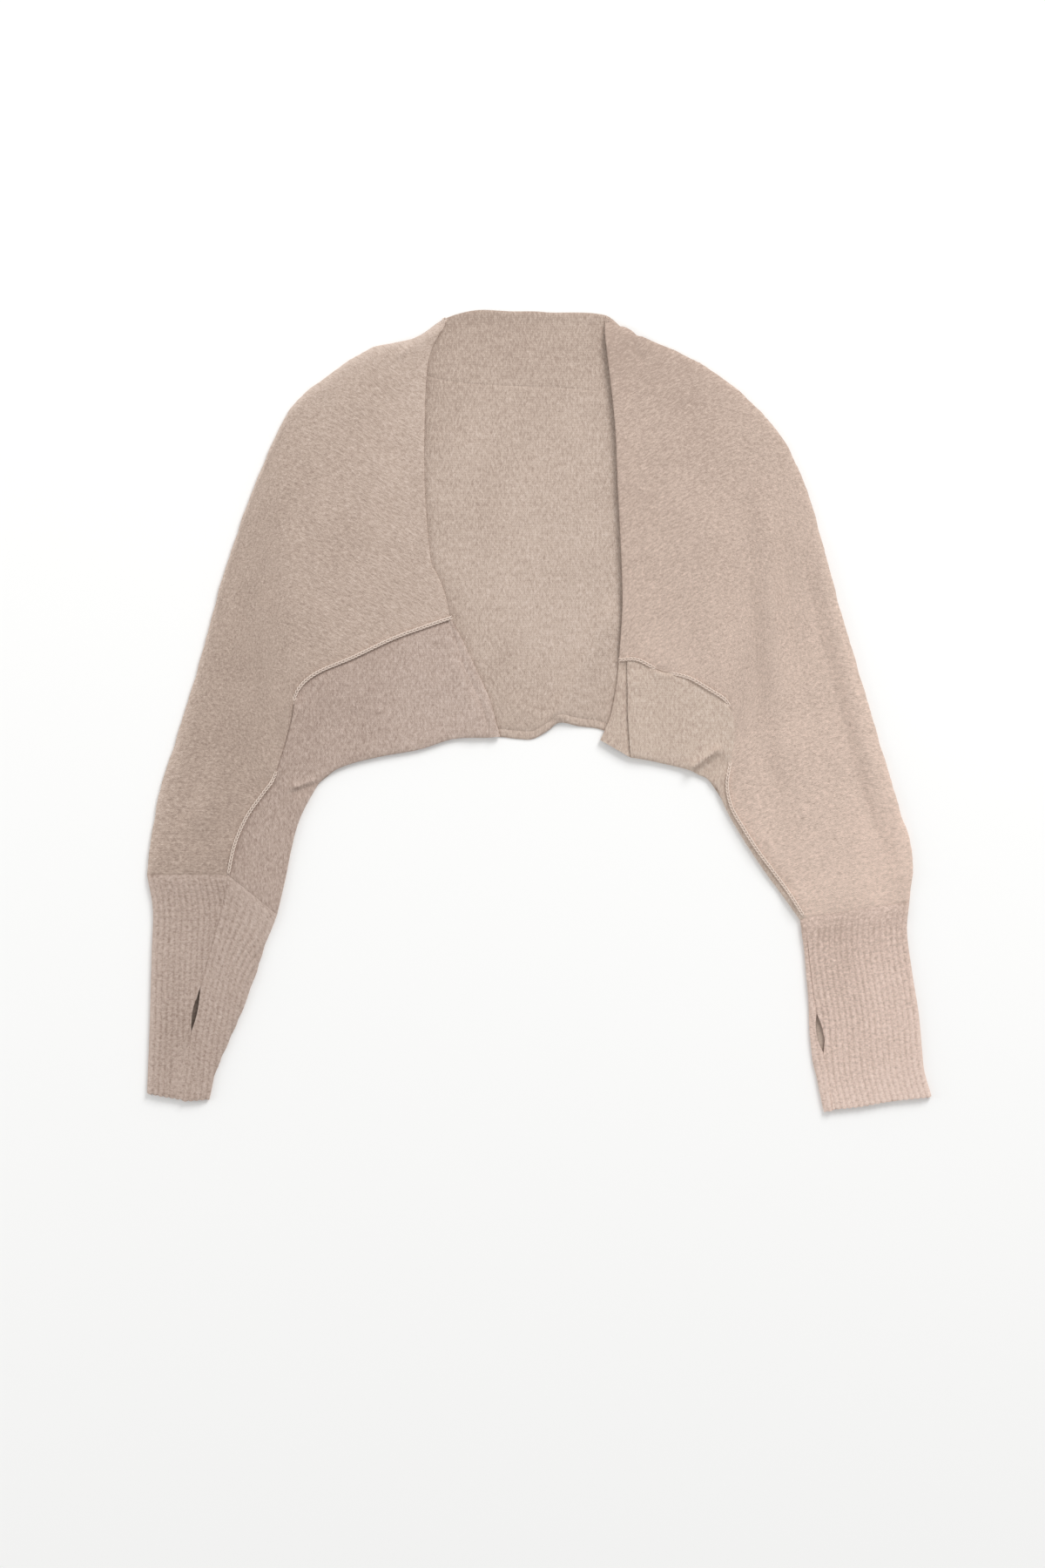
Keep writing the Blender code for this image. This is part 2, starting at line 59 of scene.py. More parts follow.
# How the shells are drawn.
SHELL = 1.2           # thickness of a shell
SPACING = 2.2         # of the points on a plain panel
CUFF_SPACING = 2.4    # of the points along a rib
RIB_POINTS = 10       # across one rib
REST_LIFT = 1.2       # how far the upper layer stands off the lower one, on the whole
MOST_LIFT = 6.5
FOLD_DEPTH = 1.25     # the solids' folds are this much deeper in the cloth
TURN_REACH = 15.0     # distance over which cloth rounds down to a folded edge
TURN_POWER = 2.6
TURN_MIDDLE = 0.45    # level of the outermost line, in parts of the edge's height
EDGE_STEPS = (0.0, 0.1, 0.35, 0.8, 1.5, 2.6, 4.2)        # distances from a turned edge
TUCK = ((0.15, 0.35), (0.6, 0.72), (1.3, 0.94), (2.4, 1.0), (4.2, 1.0))    # in, share down
UNDER_INSET = 4.8     # the lower layer ends this far inside a folded edge
EDGE_THICKNESS = 2.2  # of a selvedge, which is doubled
RIM = 0.05            # rounding of a shell's cut edges
EDGE_WOBBLE = 0.35    # a folded edge wanders this much either way
ON_TABLE = 0.02       # nothing lies lower than this
SEAM_CLEAR = 0.15
SEAM_DIP = {"left": 1.2, "right": 0.5}     # the lower front sinks this much along the seam
SEAM_DIP_WIDTH = 2.4
SEAM_RIDGE_RISE = 1.9
CREASE_DIP = 1.2      # there the sleeve sinks along the seam, and the lower front stands over it
CREASE_DIP_WIDTH = 2.6
CREASE_RISE = 1.1
CREASE_DROP = 2.9
CREASE_DROP_WIDTH = 1.5
CORNER_LEVEL = 2.9    # the front's corner at the neck lies down on the neck band
CORNER_REACH = 11.0
SEAM_SUNK = 2.0       # where the seam is only a crease, its allowances lie this much lower
BAND_DIP = {"left": 0.9, "right": 1.2}     # an edge band sinks this much along its crease
BAND_DIP_WIDTH = {"left": 2.4, "right": 5.0}
BAND_STEP = {"left": -0.9, "right": 0.6}   # and the lower front stands up there by this much
BAND_STEP_WIDTH = {"left": 2.2, "right": 8.0}
HEM_DIP = 0.5
NECK_DIP = 0.15
EDGE_REACH = 4.0
LOWER_REACH = 7.0
CUFF_REACH = 9.0
CUFF_PUFF = 0.8       # the sleeve puffs out by this much above its cuff
CUFF_PUFF_PLACE = 14.0
CUFF_PINCH = 0.25
CUFF_PINCH_WIDTH = 3.0
CUFF_SETTLE = 24.0    # distance below the join over which the cuff comes down flat
# Distance below the join over which the ribs come up, on the outer and the thumb side.
RIB_FADE = {"left": (4.0, 12.0), "right": (13.0, 13.0)}
END_SCALLOP = 0.9     # each rib ends this much lower than the valley beside it
END_WAVE = 0.5
FAR_FROM_FOLD = 500.0
CUFF_SMOOTH_STRIP = {"left": 10.0, "right": 0.0}
NECK_BAND_END = 1.3   # row of an upper front up to which the neck band lies under its shoulder
# How far each seam ridge stands: row of the seam, share of the full height.
RIDGES = {
    "left": (
        (0, 0.8), (0.3, 1), (5.0, 1), (5.5, 0.1), (7.6, 0.1), (8.2, 1), (11.6, 0.9), (12, 0.2),
    ),
    "right": (
        (0, 0.2), (0.5, 0.8), (1.5, 0.7), (1.9, 0.1), (2.6, 0.35), (3.3, 0.8), (5.2, 0.6),
        (6.0, 0.15), (8.7, 0.15), (9.5, 0.9), (15.4, 0.7), (16, 0.2),
    ),
}
# Where the seam is a dark crease instead: row of the seam, share of the full depth.
CREASES = {
    "left": ((0, 0), (4.9, 0), (5.4, 1), (7.7, 1), (8.2, 0), (12, 0)),
    "right": (
        (0, 0), (1.6, 0), (1.9, 0.7), (2.3, 0.7), (2.6, 0), (5.0, 0), (5.4, 0.6), (5.9, 0.5),
        (6.4, 0.1), (8.6, 0.1), (9.0, 0), (16, 0),
    ),
}
# How the ribs of the left cuff's thumb side fan out below the join, where the sleeve slants.
RIB_FAN = {"left": 0.6, "right": 0.0}
FAN_END = 0.42        # as a share of the cuff's length

# Bumps of a shoulder's fold beside the neck: distance from the opening, width, height.
SHOULDER_BUMPS = {
    "left": ((30.0, 9.0, -0.8), (64.0, 10.0, 0.8)),
    "right": ((13.5, 3.2, -1.9), (21.0, 4.0, 0.6), (31.5, 3.6, -1.7), (60.0, 9.0, 0.6)),
}

# The picture: straight above, a little below the garment's middle, lengths in metres.
CAMERA_HEIGHT = 2.7
VIEW_HEIGHT = 1.35    # what the photograph shows from top to bottom
VIEW_CENTRE = (-0.0139, -0.06375)

Fold = namedtuple("Fold", "x0 y0 x1 y1 x2 y2 wide_left wide_right rise fade_start fade_end")

# One row for each section across the sleeve and upper front, from the opening to the cuff.
# Columns: outer fold x, y; exposed seam x, y.
LEFT_UPPER = (
    (-80, 337, -76, 79), (-106, 321, -99, 71), (-150, 308, -126, 61), (-186, 284, -160, 45),
    (-213, 260, -192, 31), (-234, 218, -208, 15), (-252, 173, -213, -9), (-273, 110, -219, -32),
    (-290, 47, -228, -59), (-310, -19, -237, -72), (-326, -70, -251, -92), (-334, -115, -261, -115),
    (-337, -142, -267, -142),
)
RIGHT_UPPER = (
    (57, 338, 69, 43), (82, 325, 85, 43), (107, 313, 104, 34), (141, 297, 128, 28),
    (176, 271, 146, 18), (206, 239, 160, 9), (225, 204, 165, 1), (238, 166, 168, -9),
    (259, 88, 168, -28), (276, 31, 164, -49), (288, -10, 162, -66), (297, -40, 166, -84),
    (305, -67, 175, -100), (312, -90, 187, -119), (319, -111, 201, -138), (322, -135, 215, -157),
    (319, -165, 229, -179),
)
# One row for each section: hem, then the inner fold of the sleeve, x and y.
LEFT_LOWER = (
    (-43, -24), (-73, -25), (-102, -34), (-135, -40), (-160, -46), (-177, -53), (-188, -62),
    (-195, -73), (-202, -86), (-208, -101), (-213, -121), (-218, -146), (-225, -176),
)
RIGHT_LOWER = (
    (79, -41), (92, -43), (106, -46), (119, -49), (130, -52), (138, -56), (143, -58), (147, -61),
    (151, -65), (154, -69), (157, -76), (162, -87), (171, -103), (183, -122), (196, -141),
    (210, -160), (225, -181),
)
# Opening edge of each upper front, from the seam up to the neck, x and y.
LEFT_OPENING = (
    (-76, 79), (-81, 101), (-87, 116), (-93, 131), (-98, 191), (-98, 251), (-96, 292), (-92, 310),
    (-86, 322), (-81, 330), (-80, 337),
)
RIGHT_OPENING = (
    (69, 43), (71, 71), (72, 95), (71, 131), (68, 191), (66, 238), (63, 270), (59, 304), (57, 322),
    (57, 332), (57, 338),
)
# Edge band of each lower front, from the seam to the hem. Columns: edge x, y; inner crease x, y.
LEFT_BAND = (
    (-76, 79, -79, 78), (-66, 61, -71, 58), (-56, 40, -64, 37), (-42, 9, -50, 6),
    (-36, -13, -44, -14), (-33, -23, -43, -24),
)
RIGHT_BAND = (
    (69, 43, 77, 42), (67, 22, 77, 20), (62, -4, 77, -6), (57, -17, 78, -24), (53, -26, 79, -41),
)
BANDS = {"left": LEFT_BAND, "right": RIGHT_BAND}
# The hem under each edge band, from its edge to its crease, x and y.
LEFT_BAND_HEM = ((-33, -23), (-38, -24), (-43, -24))
RIGHT_BAND_HEM = ((53, -26), (64, -35), (79, -41))
# One row for each section across a cuff. Columns: outer fold x, y; seam x, y; inner fold x, y.
LEFT_CUFF = (
    (-337, -142, -267, -142, -225, -176), (-332, -172, -273, -172, -236, -203),
    (-333, -208, -282, -205, -245, -231), (-334, -243, -291, -239, -256, -260),
    (-335, -278, -299, -277, -267, -285), (-336, -304, -302, -303, -278, -311),
    (-337, -329, -306, -336, -284, -335),
)
RIGHT_CUFF = (
    (319, -165, 229, -179, 225, -181), (317, -190, 232, -206, 229, -206),
    (321, -223, 235, -232, 231, -232), (327, -261, 239, -261, 233, -262),
    (330, -293, 245, -295, 235, -295), (332, -311, 249, -315, 239, -315),
    (338, -332, 253, -344, 246, -345),
)
SLIT_ROWS = (3, 4)    # the sections of a cuff between which its thumb slit opens
# One row for each section of the back, left to right. Columns: hem x, y; top x, y; shoulder
# is 1 where the top is the shoulder fold and 0 where it is the neck seam.
BACK = (
    (-188, -62, -234, 218, 1), (-168, -47, -213, 260, 1), (-145, -38, -186, 284, 1),
    (-120, -34, -150, 308, 1), (-103, -31, -120, 314, 1), (-90, -28, -108, 301, 0),
    (-74, -25, -94, 287, 0), (-40, -23, -60, 281, 0), (-18, -25, -24, 279, 0),
    (-5, -25, -4, 278, 0), (8, -18, 10, 278, 0), (18, -11, 22, 277, 0), (34, -14, 36, 276, 0),
    (54, -17, 52, 275, 0), (70, -26, 64, 283, 0), (86, -33, 76, 303, 0), (104, -39, 92, 317, 1),
    (120, -44, 119, 308, 1), (134, -51, 148, 293, 1), (146, -60, 178, 269, 1),
    (157, -76, 206, 239, 1),
)
# Neck edge above each of the back's rows from NECK_ROWS on, x and y.
NECK_EDGE = (
    (-114, 315), (-98, 325), (-80, 337), (-54, 344), (-24, 343), (-4, 343), (10, 342), (22, 342),
    (36, 342), (50, 341), (61, 338), (74, 327), (87, 320),
)
NECK_ROWS = (4, 16)
LEFT_ARMHOLE = (5, 6)         # rows of the outer and inner fold where the back sleeve starts
RIGHT_ARMHOLE = (5, 10)

# Large folds of the upper layer, from start through a middle point to the end.
UPPER_FOLDS = (
    Fold(173, 240, 176, 86, 170, -40, 13, 13, -1.6, 50, 20),
    Fold(190, 205, 203, 71, 226, -80, 11, 12, 1.3, 60, 50),
    Fold(218, 180, 232, 71, 292, -140, 11, 16, -1.9, 70, 20),
    Fold(193, -35, 207, -95, 211, -160, 8, 9, -1.1, 40, 10),
    Fold(290, -20, 306, -80, 312, -150, 9, 9, 1.2, 40, 10),
    Fold(-240, 130, -280, -26, -312, -110, 10, 14, -0.7, 60, 30),
    Fold(-206, 240, -200, 150, -206, 40, 8, 8, -0.6, 60, 20),
    Fold(56, 336, 66, 191, 70, 30, 14, 34, 2.2, 26, 40),
    Fold(-98, 300, -99, 200, -84, 90, 8, 8, 0.5, 40, 40),
    Fold(-204, 14, -214, -26, -228, -60, 6, 12, 1.2, 14, 14),
    Fold(-186, -68, -196, -66, -208, -68, 7, 7, -0.9, 2, 12),
    Fold(130, -50, 144, -41, 158, -34, 8, 7, 1.4, 2, 10),
    Fold(140, -58, 150, -49, 160, -41, 7, 7, -1.3, 2, 8),
    Fold(86, 36, 86, -2, 88, -42, 9, 14, 1.1, 16, 1),
    Fold(-74, 50, -60, 4, -54, -26, 10, 8, 0.8, 16, 1),
)
# Soft folds of the back that show between the fronts.
BACK_FOLDS = (
    Fold(66, 96, 36, 36, 10, -20, 18, 10, 1.4, 30, 1),
    Fold(-60, 190, -40, 120, -50, 30, 16, 16, 0.5, 50, 40),
)

# Finer creases of the upper layer, as the photograph shows them.
UPPER_CREASES = (
    Fold(-111, 312, -116, 307, -121, 300, 1.8, 2.4, 1.9, 3, 8),
    Fold(82, 318, 86, 308, 92, 294, 3, 4, -0.9, 3, 12),
    Fold(63, 333, 74, 322, 88, 313, 5, 5, 0.9, 6, 8),
    Fold(-209, 12, -217, -24, -229, -62, 3, 7, 1.0, 8, 8),
    Fold(-211, -70, -200, -68, -188, -63, 2.0, 3.6, -2.5, 3, 8),
    Fold(-214, -68, -203, -65, -190, -60, 3.2, 1.6, 2.0, 4, 8),
    Fold(131, -51, 144, -42, 158, -32, 3.4, 1.4, 3.4, 2, 7),
    Fold(135, -56, 148, -47, 161, -38, 2.2, 10, -2.4, 2, 9),
    Fold(145, -64, 157, -56, 166, -47, 4, 5, 0.8, 6, 10),
    Fold(166, 2, 169, -18, 167, -36, 3, 5, -0.7, 8, 8),
    Fold(120, 200, 136, 110, 142, 40, 14, 12, 0.9, 60, 40),
    Fold(96, 250, 102, 170, 98, 90, 10, 12, -0.5, 60, 60),
    Fold(232, 150, 251, 71, 300, -90, 8, 9, 1.2, 50, 60),
    Fold(172, 60, 182, -70, 204, -130, 8, 9, 1.0, 50, 30),
    Fold(178, 110, 188, 20, 206, -90, 7, 8, -0.9, 50, 40),
    Fold(190, -100, 214, -140, 232, -172, 6, 7, 0.8, 20, 12),
    Fold(250, -60, 262, -110, 262, -160, 8, 9, -0.9, 40, 14),
    Fold(276, -70, 287, -115, 290, -162, 6, 6, -1.2, 20, 6),
    Fold(-246, 124, -285, -26, -314, -105, 5, 7, -1.1, 40, 20),
    Fold(-150, 250, -168, 180, -182, 110, 14, 14, 0.5, 60, 60),
    Fold(-262, 40, -288, -40, -318, -130, 8, 10, 0.7, 50, 14),
    Fold(-232, 90, -250, 0, -278, -90, 9, 9, -0.5, 60, 40),
    Fold(-250, -60, -262, -100, -270, -132, 7, 7, 0.6, 20, 10),
    Fold(-120, -5, -90, 20, -66, 30, 10, 12, 0.6, 30, 20),
    Fold(197, 200, 199, 71, 213, -70, 11, 12, 2.6, 60, 50),
    Fold(238, 170, 260, 60, 300, -120, 11, 9, 2.3, 50, 50),
    Fold(136, 190, 148, 90, 147, 10, 14, 10, 1.7, 50, 40),
    Fold(296, -60, 309, -110, 313, -158, 9, 8, 0.9, 30, 8),
    Fold(-228, 120, -266, -26, -298, -112, 8, 8, 2.9, 50, 30),
    Fold(-198, 210, -190, 150, -196, 60, 10, 8, 1.0, 50, 30),
    Fold(-176, -20, -150, 0, -130, 22, 9, 10, -0.5, 30, 20),
)
# Creases of the back between the fronts, the last two along its lower right.
BACK_CREASES = (
    Fold(64, 103, 43, 57, 12, -8, 15, 2.8, 2.5, 26, 6),
    Fold(58, 101, 38, 56, 7, -8, 3, 7, -0.5, 26, 6),
    Fold(-84, 250, -60, 200, -70, 120, 16, 16, 0.5, 50, 50),
    Fold(20, 230, 10, 150, 24, 80, 22, 22, 0.4, 60, 60),
    Fold(-30, 12, -6, -4, 20, -14, 8, 8, 0.7, 20, 14),
    Fold(50, 270, 56, 180, 58, 110, 10, 8, -0.4, 30, 30),
)
# Slow, shallow unevenness of laid cloth: wavelength, direction in degrees, start, height.
RIPPLES = (
    (83, 20, 0.3, 0.11), (61, 105, 1.9, 0.09), (47, 64, 4.0, 0.07), (34, 150, 2.6, 0.055),
    (25, 35, 5.1, 0.045), (19, 118, 0.9, 0.035), (14, 77, 3.3, 0.025),
)

Surface = namedtuple("Surface", "points cloth")     # cloth: across, along, rib number, rib share


def through(points, stations):
    """Points of a smooth curve through the rows of a table, at the given row numbers."""
    rows = np.array(points, float)
    last = len(rows) - 1
    ends = np.vstack([2 * rows[0] - rows[1], rows, 2 * rows[-1] - rows[-2]])
    at = np.clip(np.asarray(stations, float), 0, last)
    k = np.minimum(at.astype(int), last - 1)
    t = (at - k)[..., None]
    a, b, c, d = (ends[k + i] for i in range(4))
    return b + 0.5 * t * (c - a + t * (2 * a - 5 * b + 4 * c - d + t * (3 * (b - c) + d - a)))


def covered(line):
    """Length of a line up to each of its points."""
    return np.r_[0, np.cumsum(np.linalg.norm(np.diff(line, axis=0), axis=1))]


def rail(rows, first=0.0, last=None):
    """The curve through a table's rows, as a function of 0 to 1."""
    last = len(rows) - 1 if last is None else last
    return lambda p: through(rows, first + (last - first) * np.asarray(p))


def even_curve(points):
    """The curve through a table's rows by its length, as a function of 0 to 1."""
    dense = through(points, np.linspace(0, len(points) - 1, 300))
    along = covered(dense) / covered(dense)[-1]
    return lambda t: np.stack([np.interp(t, along, dense[:, k]) for k in (0, 1)], axis=-1)


def straight(a, b):
    """The straight line from a to b, as a function of 0 to 1."""
    return lambda t: a + np.asarray(t)[..., None] * (np.asarray(b) - a)


def aside(curve, distance):
    """The curve moved to its left by a distance, or by one for each of its points."""
    tangent = np.gradient(curve, axis=0)
    normal = np.stack([-tangent[:, 1], tangent[:, 0]], axis=1)
    normal /= np.linalg.norm(normal, axis=1)[:, None]
    return curve + np.reshape(distance, (-1, 1)) * normal


def spread(length, spacing, fine_start=False, fine_end=False):
    """Distances from 0 to length, closer together beside a turned edge."""
    first = EDGE_STEPS if fine_start else (0.0,)
    last = EDGE_STEPS if fine_end else (0.0,)
    count = max(2, int((length - first[-1] - last[-1]) / spacing))
    middle = np.linspace(first[-1], length - last[-1], count + 1)
    return np.r_[first[:-1], middle, length - np.array(last[-2::-1])]


def pace(low, high, spacing, fine_start=False, fine_end=False):
    """Evenly spaced places along a panel, as shares of its curves and of its middle line."""
    dense = np.linspace(0, 1, 500)
    along = covered((low(dense) + high(dense)) / 2)
    wanted = spread(along[-1], spacing, fine_start, fine_end)
    return np.interp(wanted, along, dense), wanted / along[-1]


def row_shares(width, spacing, fine_low=False, fine_high=False):
    """How far up each row lies in every column, as a share of the column's width."""
    first = EDGE_STEPS if fine_low else (0.0,)
    last = EDGE_STEPS if fine_high else (0.0,)
    middle = np.linspace(0, 1, max(3, int(width.max() / spacing)))[:, None]
    unit = np.minimum(1 / width, 0.45 / EDGE_STEPS[-1])
    a = first[-1] * unit
    b = 1 - last[-1] * unit
    low = np.outer(first[:-1], unit)
    high = 1 - np.outer(last[-2::-1], unit)
    return np.vstack([low, a + (b - a) * middle, high])


def patch(low, high, start, end, v, u):
    """A grid between two edges, low and high, whose ends follow the curves start and end."""
    v = np.broadcast_to(v, (len(v), len(low)))[..., None]
    u = np.asarray(u)[None, :, None]
    plan = low + v * (high - low)
    for curve, column, weight in ((start, 0, 1 - u), (end, -1, u)):
        bend = curve(v[..., 0]) - curve(np.array(0.0)) * (1 - v) - curve(np.array(1.0)) * v
        plan = plan + weight * bend
    return plan


def beside(points, line):
    """How far along a line each point lies, and how far from it, positive on its left."""
    start, step = line[:-1], np.diff(line, axis=0)
    length = np.linalg.norm(step, axis=1)
    from_start = points[..., None, :] - start
    share = np.clip((from_start * step).sum(-1) / length ** 2, 0, 1)
    away = from_start - share[..., None] * step
    gap = np.linalg.norm(away, axis=-1)
    nearest = np.argmin(gap, axis=-1)[..., None]
    along = covered(line)[:-1] + share * length
    side = step[:, 0] * from_start[..., 1] - step[:, 1] * from_start[..., 0]
    along, gap, side = (np.take_along_axis(a, nearest, -1)[..., 0] for a in (along, gap, side))
    return along, gap * np.where(side < 0, -1, 1)


def rise(plan, folds):
    """Height that soft folds add at each place."""
    total = np.zeros(plan.shape[:-1])
    t = np.linspace(0, 1, 21)[:, None]
    for fold in folds:
        a, b, c = (np.array(fold[i:i + 2], float) for i in (0, 2, 4))
        line = (1 - t) * (1 - 2 * t) * a + 4 * t * (1 - t) * b + t * (2 * t - 1) * c
        along, away = beside(plan, line)
        end = covered(line)[-1]
        width = np.where(away > 0, fold.wide_left, fold.wide_right)
        grown = np.clip((along + 1) / fold.fade_start, 0, 1)
        faded = np.clip((end - along + 1) / fold.fade_end, 0, 1)
        ends = np.sin(grown * math.pi / 2) ** 2 * np.sin(faded * math.pi / 2) ** 2
        total += fold.rise * ends * np.exp(-(away / width) ** 2)
    return total


def ripple(plan):
    """Slow, shallow unevenness."""
    total = np.zeros(plan.shape[:-1])
    for wavelength, direction, start, height in RIPPLES:
        angle = math.radians(direction)
        along = plan[..., 0] * math.cos(angle) + plan[..., 1] * math.sin(angle)
        total += height * np.sin(2 * math.pi * along / wavelength + start)
    return total


def upper_height(plan):
    """Outer level of the upper layer before its edges are turned."""
    lift = REST_LIFT + FOLD_DEPTH * rise(plan, UPPER_FOLDS) + rise(plan, UPPER_CREASES)
    lift = lift + ripple(plan)
    soft = np.where(lift < 0.3, 0.3 * np.exp((lift - 0.3) / 0.6), lift)
    return UPPER_TOP + np.minimum(soft, MOST_LIFT)


def under_height(plan):
    """Outer level of the lower layer before its edges are turned."""
    lift = FOLD_DEPTH * rise(plan, BACK_FOLDS) + rise(plan, BACK_CREASES) + 0.6 * ripple(plan)
    return CLOTH + np.maximum(lift, -0.3)


def turn(height, distance, base=0.0, reach=TURN_REACH):
    """Bring cloth down to the line where it turns under at a rounded edge."""
    middle = base + TURN_MIDDLE * (height - base)
    inside = np.clip(1 - distance / reach, 0, 1)
    return middle + (height - middle) * (1 - inside ** TURN_POWER) ** (1 / TURN_POWER)


def smooth_step(x):
    """0 below 0, 1 above 1 and an easy curve between."""
    t = np.clip(x, 0, 1)
    return t * t * (3 - 2 * t)


def grain(plan):
    """Where each place of an upright panel lies in the knitting: across the wales and along."""
    nothing = np.zeros(plan.shape[:-1])
    return np.stack([plan[..., 0], plan[..., 1], nothing, nothing], axis=-1)


def sleeve_grain(plan, to_fold):
    """The knitting of a sleeve cut in one with its front: courses parallel to the cuff."""
    along = covered_across(np.swapaxes(plan, 0, 1)[::-1])[::-1].T
    nothing = np.zeros(plan.shape[:-1])
    return np.stack([to_fold, along, nothing, nothing], axis=-1)


def surface(plan, height, cloth):
    """A surface over a grid of places."""
    return Surface(np.concatenate([plan, height[..., None]], axis=-1), cloth)


def facing(grid, side):
    """The grid with the given side as its first row."""
    grid = np.swapaxes(grid, 0, 1) if side in ("start", "end") else grid
    return grid[::-1] if side in ("high", "end") else grid


def unfacing(grid, side):
    """The grid as it was before facing."""
    grid = grid[::-1] if side in ("high", "end") else grid
    return np.swapaxes(grid, 0, 1) if side in ("start", "end") else grid


def tucked(made, side, base):
    """The surface with the cloth that turns under at one of its sides."""
    points, cloth = facing(made.points, side), facing(made.cloth, side)
    inner = len(EDGE_STEPS) - 1
    inward = points[inner, :, :2] - points[0, :, :2]
    inward /= np.maximum(np.linalg.norm(inward, axis=1), 1e-6)[:, None]
    onward = cloth[0, :, :2] - cloth[inner, :, :2]
    onward /= np.maximum(np.linalg.norm(onward, axis=1), 1e-6)[:, None]
    drop = points[0, :, 2] - base
    rows, cloths = [], []
    for back, down in reversed(TUCK):
        place = points[0, :, :2] + inward * back
        rows.append(np.column_stack([place, points[0, :, 2] - drop * down]))
        turned_cloth = cloth[0].copy()
        turned_cloth[:, :2] += onward * (back + drop * down)[:, None]
        turned_cloth[:, 3] *= 1 - down
        cloths.append(turned_cloth)
    points = np.concatenate([np.array(rows), points])
    cloth = np.concatenate([np.array(cloths), cloth])
    return Surface(unfacing(points, side), unfacing(cloth, side))


def colour(code):
    """A colour from its sRGB hex code, in linear light."""
    levels = [int(code[i:i + 2], 16) / 255 for i in (1, 3, 5)]
    linear = [v / 12.92 if v <= 0.04045 else ((v + 0.055) / 1.055) ** 2.4 for v in levels]
    return (*linear, 1.0)


def add(tree, kind, inputs=(), **settings):
    """Add a node with its settings, and give its inputs values or links."""
    made = tree.nodes.new(kind)
    for name, value in settings.items():
        setattr(made, name, value)
    for name, value in dict(inputs).items():
        if isinstance(value, bpy.types.NodeSocket):
            tree.links.new(value, made.inputs[name])
        else:
            made.inputs[name].default_value = value
    return made


def sums(tree, operation, *values):
    """The output of a Math node."""
    return add(tree, "ShaderNodeMath", dict(enumerate(values)), operation=operation).outputs[0]


# Reach of the painted highlight along a folded edge, in millimetres, and depth of the painted shade between
# ribs.
EDGE_HIGHLIGHT_REACH = 7.0
RIB_PAINTED_SHADE = 0.18      # how much darker it is between the ribs, in parts of the range of shades


